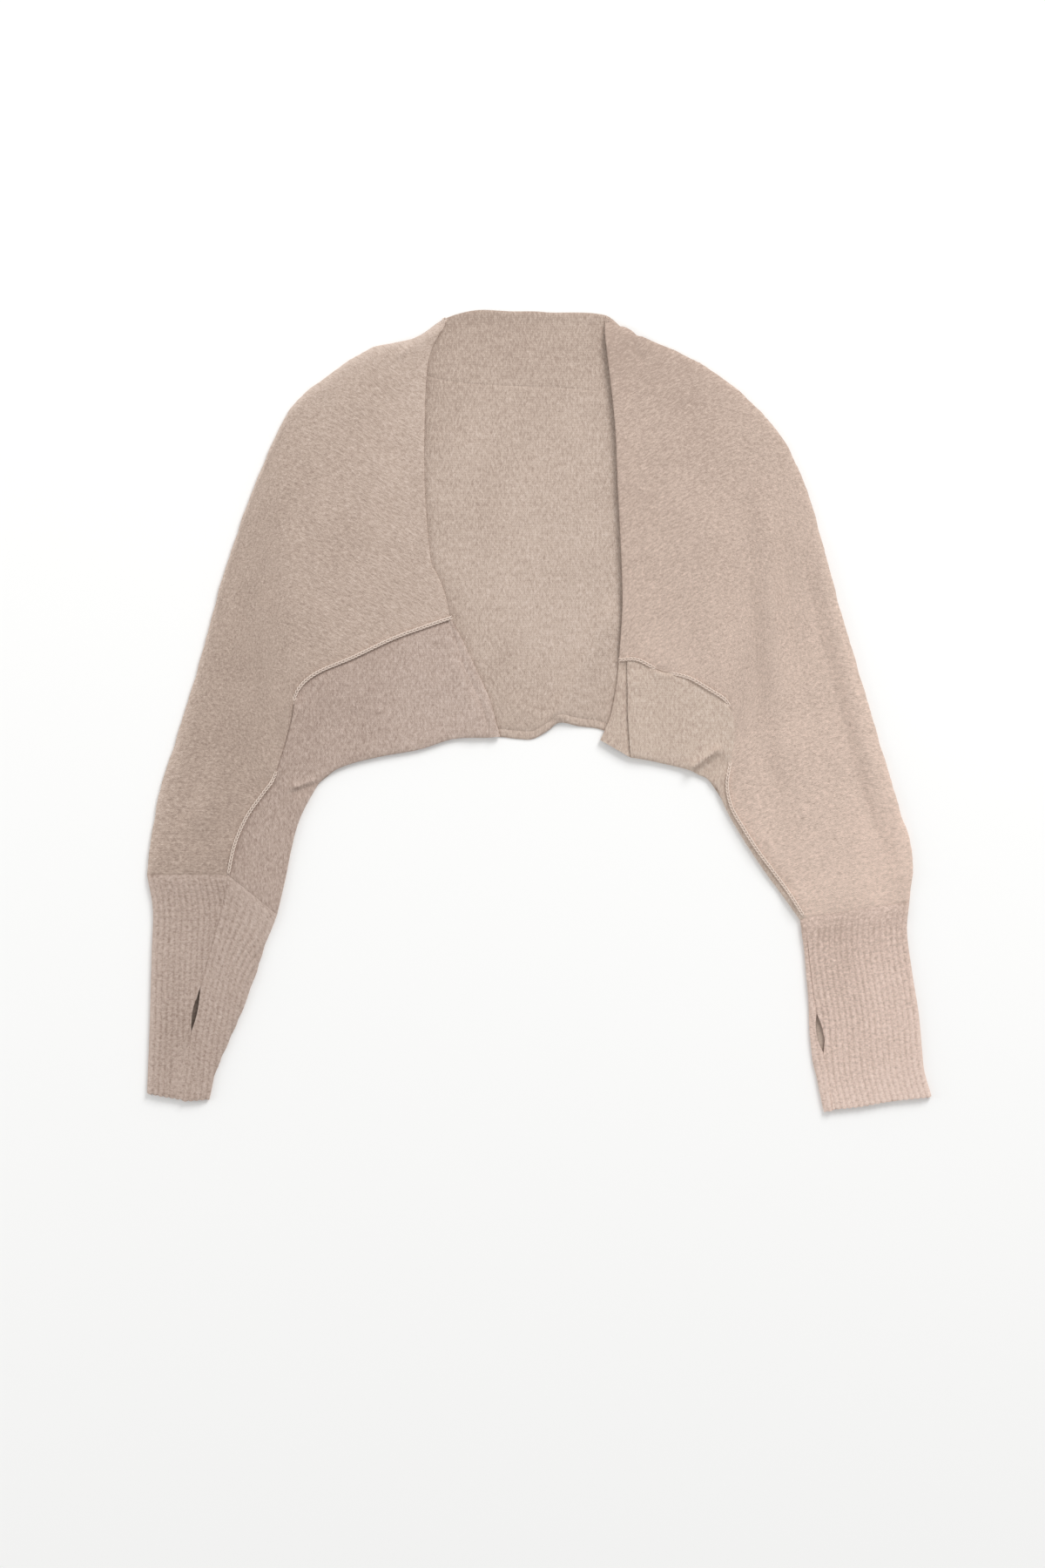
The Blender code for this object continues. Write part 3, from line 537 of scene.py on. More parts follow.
def wool(name, base, dark, light, fleck, centre, painted_light_drift, painted_shade_bow=0.0, marl=1.0, stitch=(1.9, 1.5),
         ribbed=False, edge_highlight=0.0):
    """Brushed lambswool, knitted plain: matt, with a soft nap that lightens slanting cloth.

    Yarns of a lighter and a darker shade are spun together, which gives small flecks. The size
    of a fleck is given across the wales and along them, in millimetres. The base shade is met
    at the centre, in metres. From there a painted light gradient makes the wool lighter and darker
    per metre to the right and upward, and painted shade darkens it on both sides of the centre
    by the bow, in parts of its range of shades; both stand in for the lamp's light falling off.
    Between ribs the colour is darkened with painted shade, and along a fold a painted highlight
    makes it paler.
    """
    material = bpy.data.materials.new(name)
    material.use_nodes = True
    tree = material.node_tree
    tree.nodes.clear()
    cloth = add(tree, "ShaderNodeUVMap", uv_map="cloth").outputs[0]
    parts = add(tree, "ShaderNodeSeparateXYZ", {0: cloth})
    across, along = parts.outputs[0], parts.outputs[1]

    # Flecks a few stitches long, single fibres, stray dark and light neps, and slow mottling.
    blends = []
    for size, detail, seed in (
            (fleck, 2.0, 3.1), ((0.42 * fleck[0], 0.42 * fleck[1]), 1.0, 7.7), ((3.4, 3.4), 0.0, 19.4),
            ((40.0, 55.0), 1.0, 11.3)):
        place = add(tree, "ShaderNodeVectorMath",
                    {0: cloth, 1: (1 / size[0], 1 / size[1], 0)}, operation="MULTIPLY")
        moved = add(tree, "ShaderNodeVectorMath", {0: place.outputs[0], 1: (seed, seed, seed)})
        noise = add(tree, "ShaderNodeTexNoise",
                    {"Vector": moved.outputs[0], "Scale": 1.0, "Detail": detail, "Roughness": 0.6})
        blends.append(sums(tree, "SUBTRACT", noise.outputs[0], 0.5))
    flecks, fibre, nep, mottle = blends
    stray = sums(tree, "POWER", sums(tree, "ABSOLUTE", nep), 3.0)
    stray = sums(tree, "MULTIPLY", stray, sums(tree, "SIGN", nep))

    # One stitch is a V: two legs that slant up from the middle of its wale.
    wale = sums(tree, "SUBTRACT", sums(tree, "FRACT", sums(tree, "DIVIDE", across, stitch[0])), 0.5)
    leg = sums(tree, "MULTIPLY", sums(tree, "ABSOLUTE", wale), 2.0)
    plump = sums(tree, "SINE", sums(tree, "MULTIPLY", leg, math.pi))
    row = sums(tree, "MULTIPLY_ADD", leg, -0.7, sums(tree, "DIVIDE", along, stitch[1]))
    strand = sums(tree, "COSINE", sums(tree, "MULTIPLY", row, 2 * math.pi))
    strand = sums(tree, "MULTIPLY_ADD", strand, 0.5, 0.5)
    # The relief also goes into the colour below: painted shade between the stitches.
    relief = sums(tree, "MULTIPLY", sums(tree, "POWER", plump, 0.5), strand)

    shade = sums(tree, "MULTIPLY_ADD", flecks, 1.25 * marl, 0.5)
    place = add(tree, "ShaderNodeTexCoord").outputs["Object"]
    away = add(tree, "ShaderNodeSeparateXYZ", {0: place})
    right = sums(tree, "SUBTRACT", away.outputs[0], centre[0])
    up = sums(tree, "SUBTRACT", away.outputs[1], centre[1])
    # The place terms below are painted light: the wool lightens and darkens with place, and darkens away
    # from the centre's height, for the lamp's light falling off.
    for part, weight in (
            (fibre, 1.1 * marl), (stray, 4.0), (mottle, 0.3), (relief, 0.16),
            (right, painted_light_drift[0]), (up, painted_light_drift[1]), (sums(tree, "MULTIPLY", up, up), -painted_shade_bow)):
        shade = sums(tree, "MULTIPLY_ADD", part, weight, shade)
    # Painted shade between the ribs, from each point's rib number.
    if ribbed:
        number = add(tree, "ShaderNodeAttribute", attribute_name="rib").outputs["Fac"]
        share = add(tree, "ShaderNodeAttribute", attribute_name="rib_share").outputs["Fac"]
        valley = sums(tree, "SUBTRACT", 1.0, rib_crown(tree, number))
        valley = sums(tree, "MULTIPLY", valley, share)
        shade = sums(tree, "MULTIPLY_ADD", valley, -RIB_PAINTED_SHADE, shade)
    # A painted highlight along a folded edge, fading away from the fold.
    if edge_highlight:
        faded = sums(tree, "DIVIDE", sums(tree, "ABSOLUTE", across), -EDGE_HIGHLIGHT_REACH)
        shade = sums(tree, "MULTIPLY_ADD", sums(tree, "EXPONENT", faded), edge_highlight, shade)
    shade = sums(tree, "SUBTRACT", shade, 0.07)
    ramp = add(tree, "ShaderNodeValToRGB", {0: shade})
    ramp.color_ramp.elements[0].color = colour(dark)
    ramp.color_ramp.elements[1].color = colour(light)
    middle = ramp.color_ramp.elements.new(0.5)
    middle.color = colour(base)

    height = sums(tree, "MULTIPLY_ADD", flecks, 1.0, sums(tree, "MULTIPLY", relief, 0.55))
    height = sums(tree, "MULTIPLY_ADD", fibre, 0.9, height)
    bump = add(tree, "ShaderNodeBump", {"Strength": 0.5, "Distance": 0.0006, "Height": height})
    shader = add(tree, "ShaderNodeBsdfPrincipled", {
        "Base Color": ramp.outputs[0], "Roughness": 0.92, "Specular IOR Level": 0.25,
        "Sheen Weight": 0.8, "Sheen Roughness": 0.35, "Sheen Tint": colour("#f3e6dc"),
        "Normal": bump.outputs[0]})
    add(tree, "ShaderNodeOutputMaterial", {0: shader.outputs[0]})
    return material


def rib_crown(tree, number):
    """The rounded form of a rib: 0 between ribs and 1 on top, from the rib number."""
    wave = sums(tree, "COSINE", sums(tree, "MULTIPLY", number, 2 * math.pi))
    return sums(tree, "POWER", sums(tree, "MULTIPLY_ADD", wave, -0.5, 0.5), 0.5)


def piece_tree(name):
    """An empty Geometry Nodes tree that takes and gives geometry."""
    tree = bpy.data.node_groups.new(name, "GeometryNodeTree")
    tree.interface.new_socket("Geometry", in_out="INPUT", socket_type="NodeSocketGeometry")
    tree.interface.new_socket("Geometry", in_out="OUTPUT", socket_type="NodeSocketGeometry")
    return tree


def give_input(tree, name, kind):
    """Add a named input to a tree."""
    tree.interface.new_socket(name, in_out="INPUT", socket_type=kind)


def end_tree(tree, geometry, material):
    """Close a tree: what it made becomes real and gets its material."""
    real = add(tree, "GeometryNodeRealizeInstances", {0: geometry})
    finish = add(tree, "GeometryNodeSetMaterial", {0: real.outputs[0], "Material": material})
    add(tree, "NodeGroupOutput", {0: finish.outputs[0]})


def run_tree(thing, tree, **values):
    """Put a tree on an object as a modifier, with its inputs set by their identifiers."""
    modifier = thing.modifiers.new(tree.name, "NODES")
    modifier.node_group = tree
    for item in tree.interface.items_tree:
        if item.in_out == "INPUT" and item.name.replace(" ", "_") in values:
            modifier[item.identifier] = values[item.name.replace(" ", "_")]
    return modifier


def ribbing_tree():
    """Raises ribs along the surface's normal, from the rib number that each point carries."""
    tree = piece_tree("ribbing")
    give_input(tree, "Rib rise", "NodeSocketFloat")
    give_input(tree, "Stitch length", "NodeSocketFloat")
    give_input(tree, "Material", "NodeSocketMaterial")
    inputs = add(tree, "NodeGroupInput").outputs
    number = add(tree, "GeometryNodeInputNamedAttribute", {"Name": "rib"}).outputs[0]
    share = add(tree, "GeometryNodeInputNamedAttribute", {"Name": "rib_share"}).outputs[0]
    down = add(tree, "GeometryNodeInputNamedAttribute", {"Name": "rib_along"}).outputs[0]
    turn_on = sums(tree, "MULTIPLY_ADD", number, 2.4, sums(tree, "DIVIDE", down, inputs["Stitch length"]))
    plump = sums(tree, "MULTIPLY_ADD", sums(tree, "SINE", turn_on), 0.2, 0.8)
    crown = sums(tree, "MULTIPLY", rib_crown(tree, number), plump)
    height = sums(tree, "MULTIPLY", sums(tree, "MULTIPLY", crown, share), inputs["Rib rise"])
    normal = add(tree, "GeometryNodeInputNormal").outputs[0]
    offset = add(tree, "ShaderNodeVectorMath", {0: normal, "Scale": height}, operation="SCALE")
    raised = add(tree, "GeometryNodeSetPosition", {0: inputs["Geometry"], "Offset": offset.outputs[0]})
    end_tree(tree, raised.outputs[0], inputs["Material"])
    return tree


def seam_tree():
    """Lays two strands of slanting stitches along a line, as on an exposed linked seam."""
    tree = piece_tree("seam_stitches")
    for name in ("Stitch length", "Strand gap", "Stitch width"):
        give_input(tree, name, "NodeSocketFloat")
    give_input(tree, "Material", "NodeSocketMaterial")
    inputs = add(tree, "NodeGroupInput").outputs
    line = add(tree, "GeometryNodeMeshToCurve", {0: inputs["Geometry"]})
    even = add(tree, "GeometryNodeResampleCurve", {0: line.outputs[0], "Length": inputs["Stitch length"]},
               mode="LENGTH")
    bead = add(tree, "GeometryNodeMeshUVSphere", {"Segments": 7, "Rings": 5, "Radius": 0.5})
    size = add(tree, "ShaderNodeCombineXYZ", {
        0: sums(tree, "MULTIPLY", inputs["Stitch length"], 1.5),
        1: inputs["Stitch width"],
        2: sums(tree, "MULTIPLY", inputs["Stitch width"], 0.95)})
    tangent = add(tree, "GeometryNodeInputTangent").outputs[0]
    sideways = add(tree, "ShaderNodeVectorMath", {0: tangent, 1: (0, 0, 1)}, operation="CROSS_PRODUCT")
    join = add(tree, "GeometryNodeJoinGeometry")
    for side in (-1, 1):
        gap = sums(tree, "MULTIPLY", inputs["Strand gap"], 0.5 * side)
        offset = add(tree, "ShaderNodeVectorMath", {0: sideways.outputs[0], "Scale": gap}, operation="SCALE")
        strand = add(tree, "GeometryNodeSetPosition", {0: even.outputs[0], "Offset": offset.outputs[0]})
        lay = add(tree, "FunctionNodeAlignRotationToVector", {"Vector": tangent}, axis="X")
        slant = add(tree, "FunctionNodeRotateRotation", {
            0: lay.outputs[0], 1: (0.0, -0.12, 0.26 * side)}, rotation_space="LOCAL")
        beads = add(tree, "GeometryNodeInstanceOnPoints", {
            0: strand.outputs[0], "Instance": bead.outputs[0],
            "Rotation": slant.outputs[0], "Scale": size.outputs[0]})
        tree.links.new(beads.outputs[0], join.inputs[0])
    end_tree(tree, join.outputs[0], inputs["Material"])
    return tree


def finished(thing):
    """Make a piece's modifiers part of its mesh."""
    graph = bpy.context.evaluated_depsgraph_get()
    graph.update()
    mesh = bpy.data.meshes.new_from_object(thing.evaluated_get(graph), depsgraph=graph)
    thing.modifiers.clear()
    thing.data = mesh
    places = np.empty(len(mesh.vertices) * 3)
    mesh.vertices.foreach_get("co", places)
    places[2::3] = np.maximum(places[2::3], ON_TABLE * MM)
    mesh.vertices.foreach_set("co", places)
    mesh.update()
    mesh.name = thing.name
    mesh.shade_smooth()
    return thing


def linked(name, mesh):
    """A new object in the scene with that mesh."""
    thing = bpy.data.objects.new(name, mesh)
    bpy.context.scene.collection.objects.link(thing)
    return thing


def as_mesh(name, made):
    """The mesh of a surface, face up, with its cloth coordinates."""
    points, cloth = made
    rows, columns = points.shape[:2]
    index = np.arange(rows * columns).reshape(rows, columns)
    corners = np.stack([index[:-1, :-1], index[:-1, 1:], index[1:, 1:], index[1:, :-1]], axis=-1)
    corners = corners.reshape(-1, 4)
    places = points.reshape(-1, 3)
    diagonals = places[corners[:, 2]] - places[corners[:, 0]], places[corners[:, 3]] - places[corners[:, 1]]
    if (diagonals[0][:, 0] * diagonals[1][:, 1] - diagonals[0][:, 1] * diagonals[1][:, 0]).sum() < 0:
        corners = corners[:, ::-1]
    mesh = bpy.data.meshes.new(name)
    mesh.from_pydata(places * MM, [], corners)
    flat_cloth = cloth.reshape(-1, 4)
    uv = mesh.uv_layers.new(name="cloth")
    uv.data.foreach_set("uv", flat_cloth[corners.ravel(), :2].ravel())
    for column, label in ((1, "rib_along"), (2, "rib"), (3, "rib_share")):
        if flat_cloth[:, 3].any():
            layer = mesh.attributes.new(label, "FLOAT", "POINT")
            layer.data.foreach_set("value", flat_cloth[:, column])
    work = bmesh.new()
    work.from_mesh(mesh)
    bmesh.ops.remove_doubles(work, verts=work.verts, dist=0.004 * MM)
    work.to_mesh(mesh)
    work.free()
    return mesh


def lay_cloth(name, made, material, node, ribbed=False,
              thickness=SHELL, inside=None):
    """Make a shell of cloth from a surface, name it, and hide the solid that it stands for."""
    thing = linked(name, as_mesh(name, made))
    thing.data.materials.append(inside or material)
    if ribbed:
        run_tree(thing, RIBBING, Rib_rise=RIB_RISE * MM, Stitch_length=0.75, Material=material)
    wall = thing.modifiers.new("wall", "SOLIDIFY")
    wall.thickness = thickness * MM
    wall.offset = -1.0
    # On the cuffs the inner face's material is painted shade.
    if inside:
        thing.data.materials.append(material)
        wall.material_offset = wall.material_offset_rim = 1
    rim = thing.modifiers.new("rim", "BEVEL")
    rim.width = RIM * MM
    rim.segments = 2
    rim.limit_method = "ANGLE"
    rim.angle_limit = math.radians(55)
    finished(thing)
    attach(thing, "root")
    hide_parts(node)
    return thing


def wandering(edge, turn_side, notches):
    """A folded edge with the small bumps that knitted cloth has along it."""
    along = covered(edge)
    ends = smooth_step(np.minimum(along, along[-1] - along) / 20)
    bumps = np.sin(along / 5.1 + 1.3) + 0.8 * np.sin(along / 3.4) + 0.9 * np.sin(along / 9.7 + 0.6)
    bumps += 1.1 * np.sin(along / 1.3 + 2 * np.sin(along / 7.0)) * (0.6 + 0.4 * np.sin(along / 11.0))
    out = EDGE_WOBBLE * bumps / 2 * ends
    for place, width, height in notches:
        out += height * np.exp(-((along - place) / width) ** 2)
    return aside(edge, turn_side * out)


def build_front(side, upper, lower, opening, band_start, underarm, material,
                lower_material):
    """The upper front with its sleeve, and the lower front."""
    turn_side = 1 if side == "right" else -1
    last = len(upper) - 1
    outer_rail = rail([row[:2] for row in upper])
    seam_rail = rail([row[2:] for row in upper])
    p, u = pace(seam_rail, outer_rail, SPACING, fine_start=True)
    outer, seam = wandering(outer_rail(p), turn_side, SHOULDER_BUMPS[side]), seam_rail(p)
    low = aside(seam, turn_side * SEAM_CLEAR)
    v = row_shares(np.linalg.norm(outer - low, axis=1), SPACING, fine_low=True, fine_high=True)
    plan = patch(low, outer, even_curve(opening), straight(low[-1], outer[-1]), v, u)
    level = upper_height(plan) + cuff_join(plan)
    crease = at_rows(CREASES[side], p * last)
    level -= CREASE_DIP * crease * np.exp(-(covered_across(plan) / CREASE_DIP_WIDTH) ** 2)
    near = np.exp(-(np.linalg.norm(plan - plan[-1, 0], axis=-1) / CORNER_REACH) ** 2)
    level += near * (CORNER_LEVEL - level)
    flat_corner = smooth_step(1.3 * near)
    to_fold = covered_across(plan[::-1])[::-1]
    to_opening = covered_across(np.swapaxes(plan, 0, 1)).T
    fold_base = UPPER_FLOOR * (1 - smooth_step((p * last - NECK_BAND_END) / 0.5))
    level = turn(level, to_fold, fold_base)
    edge_base = np.maximum(UPPER_FLOOR, level[:, 0] - EDGE_THICKNESS)
    turned = turn(level, to_opening, edge_base[:, None], EDGE_REACH)
    level = turned + flat_corner * (level - turned)
    made = surface(plan, level, sleeve_grain(plan, to_fold))
    made = tucked(made, "start", edge_base)
    base = np.r_[np.full(len(TUCK), edge_base[-1]), fold_base]
    made = tucked(made, "high", np.minimum(base, made.points[-1, :, 2]))
    lay_cloth(f"knit_front_sleeve_{side}", made, material, f"front_sleeve_{side}")

    lower_seam = rail([row[2:] for row in upper], band_start)
    hem_rail = rail(lower)
    p, u = pace(hem_rail, lower_seam, SPACING)
    hem, seam = hem_rail(p), lower_seam(p)
    high = aside(seam, -turn_side * SEAM_CLEAR)
    v = row_shares(np.linalg.norm(high - hem, axis=1), SPACING, fine_low=True, fine_high=True)
    band_crease = even_curve([row[2:] for row in BANDS[side]][::-1])
    plan = patch(hem, high, band_crease, straight(hem[-1], high[-1]), v, u)
    level = upper_height(plan) + cuff_join(plan)
    stand = at_rows(RIDGES[side], band_start + (last - band_start) * p)
    crease = at_rows(CREASES[side], band_start + (last - band_start) * p)
    to_seam = covered_across(plan[::-1])[::-1]
    level -= SEAM_DIP[side] * stand * np.exp(-(to_seam / SEAM_DIP_WIDTH) ** 2)
    level += crease * (CREASE_RISE * np.exp(-(to_seam / 7) ** 2)
                       - CREASE_DROP * np.exp(-(to_seam / CREASE_DROP_WIDTH) ** 2))
    to_band = covered_across(np.swapaxes(plan, 0, 1)).T
    level += BAND_STEP[side] * np.exp(-(to_band / BAND_STEP_WIDTH[side]) ** 2)
    base = UPPER_FLOOR * (1 - smooth_step((p - underarm) / 0.05))
    level = turn(level, covered_across(plan), base, LOWER_REACH)
    made = surface(plan, level, grain(plan))
    made = tucked(made, "low", base)
    lay_cloth(f"knit_lower_front_{side}", made, lower_material, f"lower_front_{side}")

    build_edge_band(side, plan[:, 0], v[:, 0], lower_material)
    build_seam_ridge(side, seam_rail, last, lower_material)


def covered_across(plan):
    """Distance of every place from the grid's first row, along its column."""
    steps = np.linalg.norm(np.diff(plan, axis=0), axis=2)
    return np.vstack([np.zeros(plan.shape[1]), np.cumsum(steps, axis=0)])


def cuff_join(plan):
    """A sleeve puffs out above its cuff, and is drawn in where it joins the ribbing."""
    to_end = covered_across(np.swapaxes(plan, 0, 1)[::-1])[::-1].T
    puff = CUFF_PUFF * np.exp(-((to_end - CUFF_PUFF_PLACE) / CUFF_PUFF_PLACE) ** 2)
    return puff - CUFF_PINCH * np.exp(-(to_end / CUFF_PINCH_WIDTH) ** 2)


def build_edge_band(side, crease, v, material):
    """The narrow band along the front edge below the seam."""
    edge_curve = even_curve([row[:2] for row in BANDS[side]][::-1])
    edge = edge_curve(v)
    width = np.linalg.norm(crease - edge, axis=1)
    across = row_shares(width, 1.0, fine_low=True)
    plan = edge + across[..., None] * (crease - edge)
    level = upper_height(plan)
    to_crease = (1 - across) * width
    level -= BAND_DIP[side] * np.exp(-(to_crease / BAND_DIP_WIDTH[side]) ** 2)
    level = turn(level, across * width, UPPER_FLOOR, 5.0)
    made = surface(plan, level, grain(plan))
    made = tucked(made, "low", np.full(len(edge), UPPER_FLOOR))
    lay_cloth(f"knit_edge_band_{side}", made, material, f"edge_band_{side}")


def build_seam_ridge(side, seam_rail, last, material):
    """The exposed seam: its allowances stand up in a ridge, with two strands of stitches on it."""
    p, _ = pace(seam_rail, seam_rail, 1.5)
    seam = seam_rail(p)
    stand = at_rows(RIDGES[side], p * last)
    offsets = np.linspace(-1, 1, 9)
    plan = np.stack([aside(seam, offset * SEAM_RIDGE_WIDTH / 2) for offset in offsets])
    crown = np.sqrt(np.maximum(1 - offsets ** 2, 0))[:, None] * SEAM_RIDGE_RISE * stand
    level = upper_height(plan) + cuff_join(plan) - 0.25 + crown
    toward_lower = np.maximum(offsets * (1 if side == "left" else -1), 0)[:, None]
    level -= SEAM_DIP[side] * stand * toward_lower + SEAM_SUNK * at_rows(CREASES[side], p * last)
    along = covered(seam)[None, :] + np.zeros_like(level)
    across = (offsets * SEAM_RIDGE_WIDTH / 2)[:, None] + np.zeros_like(level)
    nothing = np.zeros_like(level)
    made = surface(plan, level, np.stack([across, along, nothing, nothing], axis=-1))

    middle = level[len(offsets) // 2]
    shown = stand > 0.3
    points = np.column_stack([seam, middle])
    mesh = bpy.data.meshes.new(f"seam_line_{side}")
    kept = np.flatnonzero(shown)
    number = {int(old): new for new, old in enumerate(kept)}
    edges = [(number[int(k)], number[int(k) + 1]) for k in kept[:-1] if k + 1 in number]
    mesh.from_pydata(points[kept] * MM, edges, [])
    stitches = linked(f"seam_stitches_{side}", mesh)
    # The stitches' wool is painted lighter: a painted highlight on the raised ridge.
    run_tree(stitches, SEAM_STITCHES, Stitch_length=3.0 * MM, Strand_gap=1.6 * MM,
             Stitch_width=1.1 * MM, Material=SEAM_WOOL_HIGHLIT[side])
    finished(stitches)
    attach(stitches, "root")
    lay_cloth(f"knit_seam_ridge_{side}", made, material, f"seam_ridge_{side}",
              thickness=0.8)


def at_rows(table, stations):
    """What a table of rows and shares says at the given rows."""
    return np.interp(stations, *zip(*table))


def slit_opening(side, stations):
    """Half of the gap along a cuff's seam: nearly shut, and opened out at the thumb slit."""
    first, last = SLIT_ROWS
    part = np.clip((stations - first) / (last - first), 0, 1)
    return SLIT_HALF_WIDTH[side] * np.sin(math.pi * part) - 0.01


def cuff_height(plan, below):
    """Outer level of a cuff, which starts even with the sleeve and settles below the join."""
    low = UPPER_TOP + CUFF_LIFT + 0.6 * ripple(plan)
    join = upper_height(plan) + CUFF_PUFF / math.e
    join = join - CUFF_PINCH * np.exp(-(below / CUFF_PINCH_WIDTH) ** 2)
    return low + smooth_step(1 - below / CUFF_SETTLE) * (join - low)


def ribbed_surface(guide, limit, begin, below, folded_side, reach, rib_fade, fan=0.0,
                   smooth_strip=0.0, strip_from=130.0):
    """A ribbed piece with its ribs beside the guide line, from begin to where they meet the limit."""
    width = np.linalg.norm(limit - guide, axis=1)[:, None]
    direction = (limit - guide) / width
    begin = np.broadcast_to(begin, width.shape)
    below = below[:, None]
    fanned = 1 + fan * (1 - smooth_step(below / (FAN_END * below[-1])))
    marks = np.arange(0, width.max() + 0.5, RIB_PITCH / RIB_POINTS)
    marks = np.union1d(marks, EDGE_STEPS) if folded_side == "guide" else marks
    across = np.clip(marks[None, :] * fanned, begin, width)
    plan = guide[:, None] + direction[:, None] * across[..., None]
    onward = np.gradient(guide, axis=0)
    onward /= np.linalg.norm(onward, axis=1)[:, None]
    crown = np.abs(np.sin(math.pi * across / fanned / RIB_PITCH))
    scallop = END_SCALLOP * (crown - 0.6) + END_WAVE * np.sin(across / 9.0 + 1.0)
    scallop = scallop * np.exp(-((below[-1] - below) / 5.0) ** 2)
    plan = plan + onward[:, None] * scallop[..., None]
    to_limit = width - across
    distance = across if folded_side == "guide" else to_limit
    settled = 1 - smooth_step(1 - below / CUFF_SETTLE)
    reach = reach + (CUFF_REACH - reach) * settled
    height = turn(cuff_height(plan, below), distance, 0.0, np.minimum(reach, 0.7 * width))
    share = 0.2 + 0.8 * smooth_step(below / rib_fade) + np.zeros_like(across)
    if smooth_strip:
        late = smooth_step((below - strip_from) / 12)
        share = share * (1 - 0.85 * late * (1 - smooth_step((to_limit - smooth_strip) / 2)))
    from_fold = across + (0.0 if folded_side == "guide" else FAR_FROM_FOLD)
    cloth = np.stack([from_fold, below + np.zeros_like(across), across / fanned / RIB_PITCH, share],
                     axis=-1)
    return surface(plan, height, cloth)


def build_cuff(side, cuff, material):
    """The ribbed cuff: its upper layer in two pieces with the thumb slit between."""
    outer_rail, seam_rail, inner_rail = (rail([row[i:i + 2] for row in cuff]) for i in (0, 2, 4))
    p, _ = pace(outer_rail, inner_rail, CUFF_SPACING)
    outer, seam, inner = outer_rail(p), seam_rail(p), inner_rail(p)
    below = covered((outer + inner) / 2)
    toward = (outer - seam) / np.linalg.norm(outer - seam, axis=1)[:, None]
    gap = slit_opening(side, p * (len(cuff) - 1))[:, None]
    strip = CUFF_SMOOTH_STRIP[side]
    made = ribbed_surface(outer, seam + toward * gap, 0.0, below, "guide", TURN_REACH,
                          RIB_FADE[side][0], smooth_strip=strip)
    made = tucked(made, "start", np.zeros(len(outer)))
    lay_cloth(f"knit_cuff_front_{side}", made, material, f"cuff_front_{side}",
              ribbed=True)
    made = ribbed_surface(seam, inner, gap, below, "limit", LOWER_REACH, RIB_FADE[side][1],
                          RIB_FAN[side])
    made = tucked_at_limit(made)
    lay_cloth(f"knit_cuff_thumb_{side}", made, material, f"cuff_thumb_{side}",
              ribbed=True)


def tucked_at_limit(made):
    """Tuck the last column, taking its inward direction from well inside the piece."""
    points, cloth = made
    inward = points[:, 0, :2] - points[:, -1, :2]
    inward /= np.maximum(np.linalg.norm(inward, axis=1), 1e-6)[:, None]
    width = np.linalg.norm(points[:, 0, :2] - points[:, -1, :2], axis=1)
    more, clothes = [points], [cloth]
    for back, down in TUCK:
        place = points[:, -1, :2] + inward * np.minimum(back, 0.6 * width)[:, None]
        level = points[:, -1, 2] * (1 - down)
        more.append(np.column_stack([place, level])[:, None])
        edge = cloth[:, -1].copy()
        edge[:, 0] += back + points[:, -1, 2] * down
        edge[:, 3] *= 1 - down
        clothes.append(edge[:, None])
    return Surface(np.concatenate(more, axis=1), np.concatenate(clothes, axis=1))


def build_under(name, node, outer, inner, material, inside=None):
    """A hidden lower layer, which ends inside the folded edges above it."""
    width = np.linalg.norm(inner - outer, axis=1)
    toward = (inner - outer) / width[:, None]
    outer = outer + toward * UNDER_INSET
    inner = inner - toward * UNDER_INSET
    v = np.linspace(0, 1, 16)[:, None, None]
    plan = outer + v * (inner - outer)
    made = surface(plan, under_height(plan) - 0.15, grain(plan))
    lay_cloth(name, made, material, node, thickness=CLOTH - 0.3, inside=inside)


def build_back(material):
    """The back, its neck band and its narrow hem band."""
    stations = np.linspace(0, len(BACK) - 1, 121)
    hem = through([row[:2] for row in BACK], stations)
    top = through([row[2:4] for row in BACK], stations)
    folded = np.interp(stations, range(len(BACK)), [row[4] for row in BACK])
    upward = (top - hem) / np.linalg.norm(top - hem, axis=1)[:, None]
    seam = hem + upward * BACK_HEM_WIDTH
    end = top - upward * (folded * UNDER_INSET)[:, None]
    v = np.linspace(0, 1, 110)[:, None]
    plan = patch(seam, end, straight(seam[0], end[0]), straight(seam[-1], end[-1]), v,
                 np.linspace(0, 1, len(hem)))
    to_hem, to_top = covered_across(plan), covered_across(plan[::-1])[::-1]
    level = under_height(plan) - HEM_DIP * np.exp(-(to_hem / 1.6) ** 2)
    level = level - NECK_DIP * (1 - folded) * np.exp(-(to_top / 2.2) ** 2)
    made = surface(plan, level, grain(plan))
    lay_cloth("knit_back_panel", made, material, "back_panel",
              thickness=CLOTH - 0.2)

    across = np.linspace(0, 1, 9)[:, None, None]
    plan = hem + across * (seam - hem)
    to_seam = (1 - across[..., 0]) * BACK_HEM_WIDTH
    level = under_height(plan) - HEM_DIP * np.exp(-(to_seam / 1.6) ** 2)
    level = turn(level, across[..., 0] * BACK_HEM_WIDTH, 0.0, 2.5)
    made = surface(plan, level, grain(plan))
    lay_cloth("knit_back_hem_band", made, material, "back_hem_band", thickness=0.9)

    at_neck = (stations >= NECK_ROWS[0]) & (stations <= NECK_ROWS[1])
    seam = top[at_neck]
    edge = through(NECK_EDGE, stations[at_neck] - NECK_ROWS[0])
    width = np.linalg.norm(edge - seam, axis=1)
    across = row_shares(width, SPACING, fine_high=True)
    plan = seam + across[..., None] * (edge - seam)
    to_seam, to_edge = across * width, (1 - across) * width
    level = under_height(plan) - NECK_DIP * np.exp(-(to_seam / 2.2) ** 2)
    level = turn(level + 0.9 * np.exp(-(to_edge / 7.0) ** 2), to_edge, 0.0, 6.0)
    made = surface(plan, level, grain(plan))
    made = tucked(made, "high", np.zeros(len(edge)))
    lay_cloth("knit_back_neck_band", made, material, "back_neck_band",
              thickness=0.9)


RIBBING = ribbing_tree()
SEAM_STITCHES = seam_tree()
